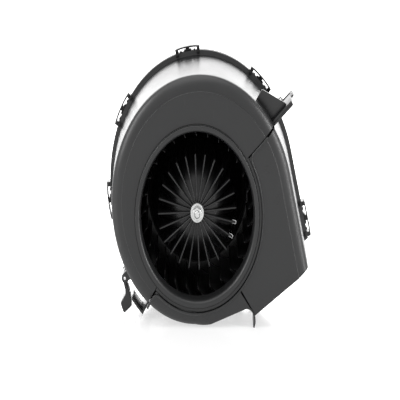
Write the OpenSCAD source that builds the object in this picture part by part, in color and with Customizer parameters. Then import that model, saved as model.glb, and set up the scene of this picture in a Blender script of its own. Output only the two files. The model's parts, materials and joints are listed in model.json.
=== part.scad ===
// Centrifugal blower for a vehicle heater, with a 12 V direct-current motor.
// A plastic scroll casing in three mouldings holds a squirrel-cage wheel on the
// motor's shaft. Air enters at the front and leaves at the lower right.
// Frame: origin on the fan axis at the inlet's front rim, +X right, +Y to the
// rear along the fan axis, +Z up. All sizes are in millimetres.

/* [Scroll casing] */
// Radius of the scroll's first arc, from the bottom to the left side
arc_1 = 99; // [95:1:106]
// Radius of the second arc, on the upper left
arc_2 = 100; // [95:1:105]
// Radius of the third arc, over the top
arc_3 = 110; // [105:1:115]
// Radius of the last arc, on the right
arc_4 = 108; // [102:1:118]
// Height of the fan axis above the casing's bottom
axis_height = 88; // [85:1:95]
// Thickness of the casing's walls
wall = 2.2; // [1.8:0.1:2.6]
// Width of the shoulder between the flat face and the side wall
shoulder = 13; // [10:0.5:15]
// Depth over which the shoulder falls back to the side wall
shoulder_depth = 11; // [8:0.5:14]
// Length of the straight wall between the last arc and the outlet
outlet_run = 76; // [66:1:84]
// Length of the ramp under the wheel, up to the tongue
ramp_run = 40; // [34:1:46]
// Inner radius of the curled foot under the tongue
foot_radius = 8.4; // [7:0.2:10]
// Thickness of the curled foot
foot_wall = 1.6; // [1.2:0.1:2.2]

/* [Flange and clips] */
// Width of the flange outside the side wall
flange_width = 4.5; // [3.5:0.5:6]
// Thickness of the front flange and of the rear plate
flange_thick = 2.8; // [2.4:0.1:3.6]
// Side of the seal's square section
seal_size = 1.2; // [1:0.1:1.4]
// Length of each flange clip along the rim
clip_length = 29; // [22:1:32]
// Thickness of a clip's strap
clip_strap = 1.5; // [1.2:0.1:2]
// Gap between the flange's rim and a clip's strap
clip_gap = 3; // [2:0.5:4]

/* [Inlet] */
// Bore of the inlet's throat
inlet_bore = 132; // [126:1:134]
// Radial width of the inlet's bell mouth
bell_width = 6.5; // [5:0.5:8]
// How far the flat face lies behind the inlet's front rim
face_set = 3; // [2:0.5:5]
// Width of the rim round the bell mouth, up to the parting line
seam_width = 3.5; // [3:0.5:5]
// Height of the parting ridge above the flat face
ridge_height = 1.6; // [1:0.2:2.4]
// Width of the parting ridge
ridge_width = 2.2; // [1.6:0.2:3]

/* [Wheel] */
// Outside diameter of the wheel
wheel_d = 143; // [136:1:146]
// Number of blades
blade_count = 28; // [24:1:44]
// Radial depth of the blades
blade_radial = 11.5; // [10:0.5:14]
// Thickness of a blade
blade_thick = 1.3; // [1:0.1:1.8]
// Depth of the wheel, from its front ring to its rear plate
wheel_depth = 66; // [60:1:72]
// Clearance between the wheel's rear plate and the rear casing
plate_clearance = 7.3; // [5:0.1:12]
// Diameter of the hub's boss
hub_boss_d = 17; // [15:1:20]
// Wall of the hub's dome
dome_wall = 2; // [1.6:0.2:2.6]
// Number of radial fins on the hub's dome
fin_count = 24; // [12:1:30]
// Thickness of a fin
fin_thick = 1.6; // [1.2:0.1:2]
// Radius at which the fins end
fin_reach = 46; // [40:1:50]
// Radial thickness of the wheel's front ring
rim_thick = 2.2; // [1.8:0.1:3]
// Depth of the wheel's front ring
rim_depth = 5; // [4:0.5:8]

/* [Motor] */
// Diameter of the motor's shaft
shaft_d = 8; // [6:0.5:10]
// Radial running clearance of the shaft in its bearings
shaft_clearance = 0.03; // [0.02:0.01:0.08]
// Outside diameter of the motor's can
can_d = 61; // [58:1:64]
// Wall of the motor's can
can_wall = 1.8; // [1.4:0.1:2.4]
// Length of the motor's can
can_length = 62; // [58:1:66]
// Diameter of the armature
armature_d = 43; // [40:1:44]
// Air gap between the armature and the magnets
air_gap = 0.8; // [0.5:0.1:1.2]
// Number of armature slots
slot_count = 12; // [8:1:16]
// Diameter of the commutator
commutator_d = 18; // [16:1:20]
// Gap between a brush and the commutator
brush_gap = 0.3; // [0.2:0.05:0.5]
// Diameter of the circle of bracket screws
bracket_pcd = 84; // [82:1:88]
// Diameter of the bracket screws
screw_d = 4; // [3.5:0.5:5]

/* [Mounting] */
// Diameter of the circle of mounting holes in the rear plate
mount_pcd = 150; // [144:1:156]
// Diameter of the mounting holes
mount_hole_d = 4.2; // [3.6:0.1:5]
// Height of the mounting bosses above the rear plate
mount_boss_height = 12; // [8:1:16]

/* [Latch and spring clip] */
// Radius of the latch's pin
pin_radius = 1.5; // [1.2:0.1:2]
// Running clearance of the latch's eye on its pin
pin_clearance = 0.06; // [0.03:0.01:0.1]
// Width of the latch's lever along the fan axis
lever_width = 16; // [12:1:20]
// Length of the seam's lugs, outwards from the casing
lug_length = 29.3; // [24:0.1:32]
// Thickness of each seam lug
lug_thick = 2.2; // [1.8:0.1:2.8]

/* [Hidden] */
$fn = 96;

// The scroll's wall is a chain of tangent arcs. Seen from the front it starts at
// the bottom, heading left, and turns right by arc_turns.
arc_radii = [arc_1, arc_2, arc_3, arc_4];
arc_turns = [90, 60, 90, 16];
scroll_start = [-2, -axis_height];
function arc_heading(i) = i == 0 ? 180 : arc_heading(i - 1) - arc_turns[i - 1];
function outward(h) = [-sin(h), cos(h)];
function forward(h) = [cos(h), sin(h)];
function arc_centre(i) = i == 0 ? scroll_start + [0, arc_1]
    : arc_centre(i - 1) + (arc_radii[i - 1] - arc_radii[i]) * outward(arc_heading(i));
end_heading = arc_heading(4);
end_point = arc_centre(3) + arc_4 * outward(end_heading);

// The ramp curves up from the scroll's start, and ends in the curled foot.
ramp_radius = 66;
ramp_slope = 16;
ramp_centre = scroll_start + [0, ramp_radius];
ramp_start = ramp_centre + ramp_radius * [sin(ramp_slope), -cos(ramp_slope)];
ramp_end = ramp_start + ramp_run * forward(ramp_slope);
foot_centre = ramp_end + foot_radius * [sin(ramp_slope), -cos(ramp_slope)];
foot_outer = foot_radius + foot_wall;
foot_low = asin(max(-0.98, (-axis_height - foot_centre.y) / foot_outer));

// The outlet is one plane from the tongue's corner to the end of the straight wall.
tongue_angle = 22;
tongue = foot_centre + foot_outer * forward(tongue_angle);
outlet_corner = end_point + outlet_run * forward(end_heading);
outlet_angle = atan2(outlet_corner.y - tongue.y, outlet_corner.x - tongue.x);

// Depths along the fan axis.
face_back = face_set + wall;
inlet_r = inlet_bore / 2;
bell_r = inlet_r + bell_width;
seam_radius = bell_r + seam_width;
throat_start = 7;
throat_end = 13;
wheel_gap = 2.5;
wheel_front = throat_end + wheel_gap;
wheel_back = wheel_front + wheel_depth;
rear_front = wheel_back + plate_clearance;
flange_depth = rear_front - flange_thick;
rear_back = rear_front + flange_thick;
wheel_r = wheel_d / 2;
blade_in = wheel_r - blade_radial;

// The parting line runs radially at two angles and round the inlet between them.
seam_high = 37;
seam_low = 231;
seam_gap = 0.1;

// Distance from the fan axis to the scroll's arc i, in the direction a.
function wall_reach(i, a) = let (c = arc_centre(i), b = forward(a) * c)
    b + sqrt(b * b + arc_radii[i] * arc_radii[i] - c * c);

// The motor, from its front boss to its end cap.
hub_front = wheel_front - 7.5;
hub_back = hub_front + 18;
dome_front = hub_front + 4;
shaft_r = shaft_d / 2;
bearing_r = shaft_r + 3.5;
bearing_bore = shaft_r + shaft_clearance;
can_front = hub_back + 8;
can_r = can_d / 2;
can_inner = can_r - can_wall;
can_back = can_front + can_length;
boss_front = can_front - 5;
boss_r = bearing_r + 2;
core_r = armature_d / 2;
core_front = can_front + 11;
core_back = can_back - 19;
turns_length = 5;
cap_thick = 3;
cap_back = can_back + cap_thick;
rear_boss_back = cap_back + 9;
commutator_r = commutator_d / 2;
plate_thick = 1.6;
plate_front = core_back + turns_length + 1.4;
plate_back = plate_front + plate_thick;
commutator_front = plate_front + 0.6;
commutator_back = can_back - 2.4;
brush_size = [5, 6.4];
brush_centre = plate_back + 1 + brush_size.y / 2;
brush_length = 9;
brush_front = commutator_r + brush_gap;
spring_length = 7;
box_wall = 0.8;
spring_end = brush_front + brush_length + spring_length;

// The rear casing's motor cup and the bracket that carries the motor.
cup_inner = can_r + 6;
cup_outer = cup_inner + wall;
cup_back = rear_boss_back + 8;
bracket_thick = 1.5;
bracket_front = rear_front - 4.6;
isolator_r = 6.5;
isolator_lip = 2;
screw_r = screw_d / 2;
screw_head = 2.4;
screw_length = 15;

// Shared small details.
arc_step = 5;
rim_cut = 60;
through = 0.5;

// ---------- placing helpers ----------

// A flat front-view shape, carried from depth y0 to depth y1.
module slab(y0, y1) {
    rotate([90, 0, 0]) translate([0, 0, -y1]) linear_extrude(y1 - y0) children();
}

// A [radius, depth] profile, turned about a line through centre.
module turned(centre = [0, 0], from = 0, sweep = 360) {
    rotate([90, 0, 0]) translate([centre.x, centre.y, 0]) rotate([0, 0, from])
        rotate_extrude(angle = sweep) mirror([0, 1]) children();
}

// An [offset, depth] profile, carried along a straight wall.
module along_line(start, heading, length) {
    rotate([90, 0, 0]) translate([start.x, start.y, 0]) rotate([0, 0, heading + 90])
        rotate([90, 0, 0]) linear_extrude(length) mirror([0, 1]) children();
}

// A hollow round bar along the fan axis.
module ring(r_out, r_in, y0, y1) {
    turned() translate([r_in, y0]) square([r_out - r_in, y1 - y0]);
}

// A round bar along the fan axis at a front-view point.
module bar(r, y0, y1, at = [0, 0], sides = 96) {
    rotate([90, 0, 0]) translate([at.x, at.y, -y1]) cylinder(r = r, h = y1 - y0, $fn = sides);
}

// A block that lies radially at an angle: along the radius, across it, in depth.
module radial_block(angle, r0, r1, across, y0, y1, side = 0) {
    rotate([90, 0, 0]) rotate([0, 0, angle])
        translate([r0, side - across / 2, -y1]) cube([r1 - r0, across, y1 - y0]);
}

// ---------- front-view outlines ----------

// Stations round the casing, from the foot's free end, under the ramp, round the
// scroll and down the straight wall: point, outward direction, share of the full
// shoulder, wall thickness, width of the flange.
tongue_share = 0.15;
free_foot = [for (k = [0:4])
    let (a = foot_low + (tongue_angle - foot_low) * k / 5)
        [foot_centre + foot_radius * forward(a), -forward(a), tongue_share, foot_wall, 0.2]];
closed_foot = [for (k = [0:7])
    let (a = tongue_angle + (ramp_slope + 90 - tongue_angle) * k / 7)
        [foot_centre + foot_radius * forward(a), -forward(a), tongue_share, foot_wall, 0.2]];
ramp_bend = [for (k = [0:3])
    let (a = ramp_slope * (1 - k / 4), n = [sin(a), -cos(a)])
        [ramp_centre + ramp_radius * n, n, tongue_share + (1 - tongue_share) * k / 4, wall,
         flange_width]];
function steps(i) = ceil(arc_turns[i] / arc_step);
scroll_arcs = [for (i = [0:3]) for (k = [0:steps(i) - (i < 3 ? 1 : 0)])
    let (h = arc_heading(i) - arc_turns[i] * k / steps(i))
        [arc_centre(i) + arc_radii[i] * outward(h), outward(h), 1, wall, flange_width]];
wall_end = [[end_point + (outlet_run + rim_cut / 2) * forward(end_heading), outward(end_heading),
             1, wall, flange_width]];
rim = concat(closed_foot, ramp_bend, scroll_arcs, wall_end);
whole_rim = concat(free_foot, rim);

// The casing's outline, moved inwards by inset.
module outline(inset) {
    polygon([for (s = rim) s[0] - inset * s[1]]);
}

// The outline of the flat face, with an overlap under the shoulder.
module face_outline(overlap) {
    polygon([for (s = rim) s[0] - (shoulder * s[2] - overlap) * s[1]]);
}

// The outline of the flange.
module flange_outline() {
    polygon([for (s = rim) s[0] + s[4] * s[1]]);
}

// Everything beyond the outlet's plane.
module outlet_side() {
    translate(tongue) rotate(outlet_angle) translate([0, -2 * rim_cut])
        square([3 * rim_cut, 2 * rim_cut]);
}

// Everything under the surface that the casing stands on.
module below_floor() {
    translate([-4 * rim_cut, -axis_height - rim_cut]) square([8 * rim_cut, rim_cut]);
}

// The inlet casing's side of the parting line, grown by grow.
module inlet_side(grow = 0) {
    far = 4 * rim_cut;
    circle(r = seam_radius + grow);
    difference() {
        polygon([[0, 0], far * forward(seam_high), far * [1, 1], far * [-1, 1], far * [-1, -1],
                 far * forward(seam_low)]);
        if (grow < 0)
            for (a = [seam_high, seam_low])
                rotate(a) translate([0, grow]) square([far, -2 * grow]);
    }
    if (grow > 0)
        for (a = [seam_high, seam_low])
            rotate(a) translate([0, -grow]) square([far, 2 * grow]);
}

// ---------- casing ----------

// Section of the shoulder, the side wall and the front flange at a station.
function wall_section(s) = let (w = shoulder * s[2], d = shoulder_depth * s[2], t = s[3]) [
    [-w - 0.6 * t - 0.9, face_set], [-w, face_set], [-w + 0.7 * s[2], face_set + 1.1 * s[2]],
    [-0.3 * w, face_set + 0.45 * d], [-0.08 * w, face_set + 0.7 * d], [0, face_set + d],
    [0, flange_depth], [s[4], flange_depth], [s[4], rear_front], [-t, rear_front],
    [-t, face_back + d], [-0.08 * w - t, face_back + 0.7 * d],
    [-0.3 * w - 0.7 * t, face_back + 0.45 * d], [-w - 0.6 * t, face_back + 0.1],
    [-w - 0.6 * t - 0.9, face_back]];

// The section's area, as convex faces between its outer and inner points.
section_cap = [[0, 1, 13, 14], [1, 2, 13], [2, 3, 12, 13], [3, 4, 11, 12], [4, 5, 10, 11],
               [5, 6, 9, 10], [6, 7, 8, 9]];

// The section carried round all stations: one closed skin.
module wall_skin() {
    n = len(whole_rim);
    m = len(wall_section(whole_rim[0]));
    points = [for (s = whole_rim) for (q = wall_section(s))
        let (p = s[0] + q[0] * s[1]) [p.x, q[1], p.y]];
    sides = [for (i = [0:n - 2]) for (j = [0:m - 1]) let (k = (j + 1) % m)
        [i * m + j, i * m + k, (i + 1) * m + k, (i + 1) * m + j]];
    first = [for (f = section_cap) [for (k = [len(f) - 1:-1:0]) f[k]]];
    last = [for (f = section_cap) [for (j = f) (n - 1) * m + j]];
    polyhedron(points, concat(sides, first, last), convexity = 8);
}

module front_shell() {
    difference() {
        union() {
            slab(face_set, face_back) difference() {
                face_outline(-0.9);
                circle(r = bell_r);
            }
            wall_skin();
        }
        slab(-through, rear_back) outlet_side();
        slab(-through, rear_back) below_floor();
    }
}

// The front shell between two depths: the face with its shoulder, or the walls.
shoulder_back = face_set + shoulder_depth + 1;
module shell_part(y0, y1) {
    intersection() {
        front_shell();
        slab(y0, y1) circle(r = 4 * rim_cut);
    }
}

// Bell mouth and throat of the inlet.
module inlet_ring() {
    bell = [for (a = [0:15:90]) [inlet_r + bell_width * (1 - sin(a)) * 0.8,
                                 throat_start * (1 - cos(a))]];
    lip = [[inlet_r + bell_width * 0.8, 0], [bell_r - 0.6, 0], [bell_r, 0.6],
           [bell_r, face_back], [bell_r - 1.4, face_back]];
    back = [for (a = [15:15:90]) [inlet_r + wall + bell_width * (1 - sin(a)) * 0.5,
                                  throat_start * (1 - cos(a)) + 2.6]];
    turned() polygon(concat([for (i = [len(bell) - 1:-1:0]) bell[i]], lip, back,
                            [[inlet_r + wall, throat_end], [inlet_r, throat_end]]));
}

// Lug pair of the upper seam: one plate on each side of the parting line.
lug_root = wall_reach(2, seam_high);
lug_tip = lug_root + lug_length;
lug_front = 20;
lug_back = 72;
lug_gap = 0.05;
module seam_lug(side) {
    radial_block(seam_high, lug_root - shoulder, lug_tip, lug_thick,
                 lug_front, lug_back, side * (lug_thick / 2 + lug_gap));
}

// Triangular web between the inlet casing's lug and its wall.
web_turn = 14;
web_foot = 10.3;
web_short = 6;
module lug_web() {
    low = lug_root - shoulder;
    slab(lug_front + 4, lug_front + 4 + wall) difference() {
        polygon([low * forward(seam_high), (lug_tip - web_short) * forward(seam_high + 0.8),
                 (lug_root + web_foot) * forward(seam_high + web_turn),
                 low * forward(seam_high + web_turn)]);
        outline(0.4);
    }
}

// Ears that carry the latch's pin, on the lower left of the inlet casing.
latch_depth = 36;
latch_angle = 219.3;
pin_out = 6.9;
pin_at = arc_centre(0) + (arc_1 + pin_out) * forward(latch_angle);
ear_thick = 3;
ear_gap = 0.4;
ear_wall = 2.3;
module latch_ears() {
    for (s = [-1, 1]) {
        middle = latch_depth + s * (lever_width / 2 + ear_thick / 2 + ear_gap);
        difference() {
            hull() for (at = [pin_at, pin_at - pin_out * forward(latch_angle)])
                bar(pin_radius + ear_wall, middle - ear_thick / 2, middle + ear_thick / 2, at);
            bar(pin_radius, middle - ear_thick, middle + ear_thick, pin_at);
        }
    }
}

module inlet_bell() {
    color("#3a3b3d") inlet_ring();
}

module inlet_casing() {
    color("#3a3b3d") intersection() {
        shell_part(-through, shoulder_back);
        slab(-through, rear_back) inlet_side(-seam_gap);
    }
}

module inlet_wall() {
    color("#3a3b3d") {
        intersection() {
            shell_part(shoulder_back, rear_back);
            slab(-through, rear_back) inlet_side(-seam_gap);
        }
        difference() {
            seam_lug(1);
            slab(0, rear_front) outline(0.4);
        }
        lug_web();
        difference() {
            latch_ears();
            slab(0, rear_front) outline(0.4);
        }
    }
}

// Keeper for the latch: an L with a foot on the seam and a leg along the wall.
keeper_from = 224;
keeper_to = 232.6;
keeper_gap = 11.5;
keeper_foot = wall_reach(0, keeper_to);
keeper_radius = keeper_foot + keeper_gap;
module keeper() {
    y0 = latch_depth - lever_width / 2 - 4;
    y1 = latch_depth + lever_width / 2 + 4;
    difference() {
        radial_block(keeper_to, keeper_foot - wall, keeper_radius + wall, wall, y0, y1);
        slab(0, rear_front) outline(0.4);
    }
    turned(from = keeper_from, sweep = keeper_to - keeper_from)
        translate([keeper_radius, y0]) square([wall, y1 - y0]);
}

// Ridge along the outlet casing's edge on the flat face.
module seam_ridge() {
    slab(face_set - ridge_height, face_set + wall / 2) difference() {
        intersection() {
            inlet_side(seam_gap + ridge_width);
            face_outline(0);
        }
        inlet_side(seam_gap);
    }
}

module outlet_casing() {
    color("#37383a") {
        difference() {
            shell_part(-through, shoulder_back);
            slab(-through, rear_back) inlet_side();
        }
        seam_ridge();
    }
}

module outlet_wall() {
    color("#37383a") {
        difference() {
            shell_part(shoulder_back, rear_back);
            slab(-through, rear_back) inlet_side();
        }
        difference() {
            seam_lug(-1);
            slab(0, rear_front) outline(0.4);
        }
        keeper();
    }
}

module rear_casing() {
    color("#202124") difference() {
        union() {
            slab(rear_front, rear_back) difference() {
                flange_outline();
                outlet_side();
                below_floor();
                circle(r = cup_inner);
            }
            ring(cup_outer, cup_inner, rear_front, cup_back);
            bar(cup_outer, cup_back, cup_back + wall);
            for (a = [90, 210, 330])
                bar(screw_r + 3, rear_front, rear_front + 13, bracket_pcd / 2 * forward(a));
            for (a = mount_angles)
                bar(mount_hole_d / 2 + 2.6, rear_back - 0.2, rear_back + mount_boss_height,
                    mount_pcd / 2 * forward(a));
            for (a = [20, 60, 110, 160, 200, 250])
                radial_block(a, cup_outer - 0.5, cup_outer + 16, wall, rear_back - 0.2, rear_back + 9);
        }
        for (a = [90, 210, 330])
            bar(screw_r - 0.1, rear_front - through, rear_front + 11, bracket_pcd / 2 * forward(a));
        for (a = mount_angles)
            bar(mount_hole_d / 2, rear_back + 1, rear_back + mount_boss_height + through,
                mount_pcd / 2 * forward(a));
        slab(rear_front - through, rear_front + seal_size) seal_ring();
        slab(cup_back - through, cup_back + wall + through)
            translate([0, plug_drop]) square([plug_size.x, plug_size.y], center = true);
        for (a = [duct_angle]) {
            radial_block(a, duct_from, duct_from + duct_mouth, duct_mouth, rear_front - through,
                         rear_back + through);
            radial_block(a, cup_inner - 1, cup_outer + 1, duct_mouth, rear_back + 2,
                         rear_back + 2 + duct_mouth - 4);
        }
    }
}
mount_angles = [60, 180, 300];

// Ring seal between the front shells and the rear plate, in the wall's width.
seal_inset = 0.2;
module seal_ring() {
    difference() {
        outline(seal_inset);
        outline(seal_inset + seal_size);
        outlet_side();
    }
}

module flange_seal() {
    color("#101010") slab(rear_front, rear_front + seal_size) seal_ring();
}

// One clip's parts: an [offset, depth] block over part of its length.
module clip_part(at, from, to, offsets, depths) {
    i = at < 90 ? 0 : at < 150 ? 1 : at < 240 ? 2 : 3;
    per_mm = 180 / (PI * arc_radii[i]);
    turned(arc_centre(i), 270 - at + (from - clip_length / 2) * per_mm, (to - from) * per_mm)
        translate([arc_radii[i] + offsets[0], depths[0]])
            square([offsets[1] - offsets[0], depths[1] - depths[0]]);
}

clip_over = flange_width + clip_gap;
clip_lip = 1.6;
module rim_clip(at) {
    depths = [flange_depth - clip_lip, rear_back + clip_lip];
    clip_part(at, 0, clip_length, [clip_over, clip_over + clip_strap], depths);
    for (x = [0, clip_length - 4]) {
        clip_part(at, x, x + 4, [flange_width, clip_over + clip_strap / 2], depths);
        for (y = [[depths[0], flange_depth], [rear_back, depths[1]]])
            clip_part(at, x, x + 4, [1.4, flange_width], y);
    }
    clip_part(at, clip_length / 2 - 5, clip_length / 2 + 5, [flange_width, clip_over + clip_strap / 2],
              [flange_depth + 0.6, rear_back - 0.6]);
}

module flange_clips() {
    color("#151517") {
        for (at = [44, 78, 121, 172, 220]) rim_clip(at);
        straight_clip();
    }
}

// The clip on the straight wall above the outlet.
straight_clip_set = 3;
module straight_clip() {
    start = outlet_corner - (clip_length + straight_clip_set) * forward(end_heading);
    depths = [flange_depth - clip_lip, rear_back + clip_lip];
    along_line(start, end_heading, clip_length)
        translate([clip_over, depths[0]]) square([clip_strap, depths[1] - depths[0]]);
    for (x = [0, clip_length - 4])
        along_line(start + x * forward(end_heading), end_heading, 4) {
            translate([flange_width, depths[0]])
                square([clip_gap + clip_strap / 2, depths[1] - depths[0]]);
            translate([1.4, depths[0]]) square([flange_width - 1.4, clip_lip]);
            translate([1.4, rear_back]) square([flange_width - 1.4, clip_lip]);
        }
}

// Bent steel clip over the tips of the two seam lugs.
seam_clip_wall = 1;
seam_clip_width = 18;
seam_clip_hold = 13;
seam_clip_set = 6;
curl_r = 1.9;
module seam_clip() {
    half = lug_thick + lug_gap;
    arm = seam_clip_hold + 0.4;
    front = lug_back - seam_clip_set - seam_clip_width;
    color("silver") rotate([90, 0, 0]) rotate([0, 0, seam_high])
        translate([lug_tip - seam_clip_hold, 0, -front - seam_clip_width])
            linear_extrude(seam_clip_width) {
                for (s = [-1, 1]) {
                    translate([0, s > 0 ? half : -half - seam_clip_wall]) square([arm, seam_clip_wall]);
                    translate([0, s * (half + curl_r + seam_clip_wall / 2)]) difference() {
                        circle(r = curl_r + seam_clip_wall / 2, $fn = 32);
                        circle(r = curl_r - seam_clip_wall / 2, $fn = 32);
                        translate([0, s > 0 ? -2 * arm : 0]) square(2 * arm);
                    }
                }
                translate([arm, 0]) difference() {
                    circle(r = half + seam_clip_wall, $fn = 48);
                    circle(r = half, $fn = 48);
                    translate([-arm, -arm]) square([arm, 2 * arm]);
                }
            }
}

// Latch: an eye on the pin, a link down the wall and a finger tab.
module latch_lever() {
    y0 = latch_depth - lever_width / 2;
    eye = pin_radius + 2;
    color("#1b1b1d") difference() {
        union() {
            bar(eye, y0, y0 + lever_width, pin_at);
            slab(y0, y0 + lever_width) polygon([
                pin_at + [-eye, 0], pin_at + [1.5, -3], pin_at + [5.9, -12], pin_at + [8.1, -18.1],
                pin_at + [9, -22.5], pin_at + [-0.5, -28.5], pin_at + [-5, -20.5], pin_at + [1.6, -12.6]]);
        }
        bar(pin_radius + pin_clearance, y0 - 1, y0 + lever_width + 1, pin_at);
    }
}

module latch_pin() {
    half = lever_width / 2 + ear_thick + 0.9;
    color("silver") bar(pin_radius, latch_depth - half, latch_depth + half, pin_at);
}

// Moulded passage that takes cooling air from the scroll to the motor's cup.
duct_angle = 132;
duct_from = 74;
duct_mouth = 12;
duct_high = 14;
module cooling_duct() {
    inner = cup_outer + 0.1;
    color("#26272a") difference() {
        radial_block(duct_angle, inner - 2, duct_from + duct_mouth + 2, duct_mouth + 4, rear_back,
                     rear_back + duct_high);
        radial_block(duct_angle, 0, duct_from + duct_mouth, duct_mouth, rear_back - through,
                     rear_back + duct_high - 2);
        bar(inner, 0, cup_back * 2);
    }
}

// ---------- wheel ----------

// Outer face of the hub's dome, as radius and depth.
dome_top = 10;
dome_rim = blade_in - 3;
dome_depth = wheel_back - dome_front;
function dome_point(r, drop = 0) = let (u = max(0, (r - dome_top) / (dome_rim - dome_top)))
    [r, dome_front + drop
        + dome_depth * (1 - sqrt(max(0, 1 - u * u)) * 0.35 - 0.65 * (1 - pow(u, 2.2)))];
function dome_line(from, to, drop = 0) =
    [for (k = [0:10]) dome_point(from + (to - from) * k / 10, drop)];
function reversed(list) = [for (k = [len(list) - 1:-1:0]) list[k]];

module impeller() {
    boss_r = hub_boss_d / 2;
    color("#1c1d1f") difference() {
        union() {
            turned() polygon(concat(dome_line(boss_r, dome_rim),
                                    reversed(dome_line(boss_r, dome_rim, dome_wall))));
            bar(boss_r, hub_front, hub_back);
            ring(wheel_r, dome_rim - 1, wheel_back - dome_wall, wheel_back);
        }
        bar(shaft_r, 0, wheel_back);
    }
}

// Radial fins that stand on the dome, round the boss.
fin_turn = 3;
fin_set = 1.5;
fin_fall = 3.5;
module hub_fins() {
    boss_r = hub_boss_d / 2;
    color("#1e1f21") for (k = [0:fin_count - 1]) {
        a = fin_turn + 360 * k / fin_count;
        intersection() {
            turned(from = a - 15, sweep = 30) polygon(concat(
                [[boss_r, hub_front + fin_set], [fin_reach, hub_front + fin_set + fin_fall]],
                reversed(dome_line(boss_r, fin_reach))));
            radial_block(a, 0, wheel_r, fin_thick, 0, wheel_back);
        }
    }
}

// One blade, curved forwards, seen from the front.
blade_lean = 10.5;
module blade() {
    steps = 4;
    radii = [for (k = [0:steps]) blade_in + (blade_radial - 1) * k / steps];
    leans = [for (k = [0:steps]) blade_lean * pow(k / steps, 1.6)];
    polygon(concat(
        [for (k = [0:steps]) radii[k] * forward(leans[k])],
        [for (k = [steps:-1:0]) radii[k] * forward(leans[k] + blade_thick * 180 / (PI * radii[k]))]));
}

module fan_blades() {
    color("#202123") for (k = [0:blade_count - 1]) {
        slab(wheel_front, wheel_front + rim_depth + 1) intersection() {
            rotate(360 * k / blade_count) blade();
            circle(r = wheel_r - rim_thick);
        }
        slab(wheel_front + rim_depth, wheel_back - dome_wall) rotate(360 * k / blade_count) blade();
    }
}

module front_rim() {
    color("#1a1b1d") ring(wheel_r, wheel_r - rim_thick, wheel_front, wheel_front + rim_depth);
}

module hub_washer() {
    color("silver") ring(hub_boss_d / 2 - 0.8, shaft_r - 1 + 0.1, hub_front - 1.2, hub_front);
}

module shaft_nut() {
    nut_flats = 10;
    nut_high = 5;
    back = hub_front - 1.2;
    color("gainsboro") difference() {
        rotate([90, 0, 0]) translate([0, 0, -back]) cylinder(r = nut_flats / sqrt(3), h = nut_high, $fn = 6);
        bar(shaft_r - 1, back - nut_high - through, back + through);
    }
}

// Small steel clips pushed on the ends of two fins to balance the wheel.
balance_fins = [22, 23];
balance_wall = 0.6;
balance_hold = 4;
balance_gap = 0.05;
module balance_clips() {
    y0 = hub_front + fin_set + fin_fall + 2;
    y1 = y0 + 9;
    color("silver") for (k = balance_fins) {
        a = fin_turn + 360 * k / fin_count;
        difference() {
            radial_block(a, fin_reach - balance_hold, fin_reach + balance_gap + balance_wall,
                         fin_thick + 2 * (balance_gap + balance_wall), y0, y1);
            radial_block(a, fin_reach - 2 * balance_hold, fin_reach + balance_gap,
                         fin_thick + 2 * balance_gap, y0 - 1, y1 + 1);
        }
    }
}

// ---------- motor ----------

module motor_shaft() {
    color("silver") {
        bar(shaft_r - 1, 1, hub_front);
        bar(shaft_r, hub_front, rear_boss_back - 2);
    }
}

module motor_can() {
    color("#8c8f93") turned() polygon([
        [bearing_r, boss_front], [boss_r, boss_front], [boss_r, can_front], [can_r - 2, can_front],
        [can_r, can_front + 2], [can_r, can_back], [can_inner, can_back],
        [can_inner, can_front + can_wall], [boss_r, can_front + can_wall],
        [boss_r, can_front + 5], [bearing_r, can_front + 5]]);
}

module magnets() {
    color("#4a4a4e") for (a = [20, 200])
        turned(from = a, sweep = 140)
            translate([core_r + air_gap, core_front - 3])
                square([can_inner - core_r - air_gap, core_back - core_front + 6]);
}

module front_bearing() {
    color("#b08d57") ring(bearing_r, bearing_bore, boss_front + 0.5, can_front + 4);
}

module rear_bearing() {
    color("#b08d57") ring(bearing_r, bearing_bore, can_back + 0.5, rear_boss_back - 2.5);
}

module thrust_washers() {
    color("#d8d4c8") {
        ring(shaft_r + 2.6, shaft_r, can_front + 4.1, can_front + 5.3);
        ring(shaft_r + 2.6, shaft_r, can_back - 1.2, can_back);
    }
}

slot_step = 360 / slot_count;
module slots() {
    for (k = [0:slot_count - 1]) rotate(k * slot_step) {
        translate([core_r * 0.52, -1.6]) square([core_r * 0.36, 3.2]);
        translate([core_r * 0.8, -0.7]) square([core_r * 0.3, 1.4]);
    }
}

module armature_core() {
    color("#6d6f72") slab(core_front, core_back) difference() {
        circle(r = core_r);
        slots();
        circle(r = shaft_r);
    }
}

module windings() {
    color("#b5602a") {
        ring(core_r * 0.88, core_r * 0.52, core_front - turns_length, core_front);
        ring(core_r * 0.88, core_r * 0.52, core_back, core_back + turns_length);
        slab(core_front - 1, core_back + 1) intersection() {
            slots();
            circle(r = core_r * 0.87);
        }
    }
}

module commutator() {
    color("#c08040") difference() {
        ring(commutator_r, shaft_r, commutator_front, commutator_back);
        for (k = [0:slot_count - 1])
            radial_block(k * slot_step, commutator_r - 1.2, commutator_r + 1, 0.6,
                         commutator_front + 1.5, commutator_back + 1);
    }
}

module brush_plate() {
    color("#5a4a3a") difference() {
        union() {
            ring(can_inner, commutator_r + 2, plate_front, plate_back);
            for (a = [0, 180])
                radial_block(a, brush_front + 1.5, spring_end + box_wall, brush_size.x + 2 * box_wall,
                             plate_back - 0.1, brush_centre + brush_size.y / 2 + box_wall);
        }
        for (a = [0, 180])
            radial_block(a, brush_front, spring_end, brush_size.x, brush_centre - brush_size.y / 2,
                         brush_centre + brush_size.y / 2);
    }
}

module brushes() {
    color("#2e2e30") for (a = [0, 180])
        radial_block(a, brush_front, brush_front + brush_length, brush_size.x,
                     brush_centre - brush_size.y / 2, brush_centre + brush_size.y / 2);
}

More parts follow.
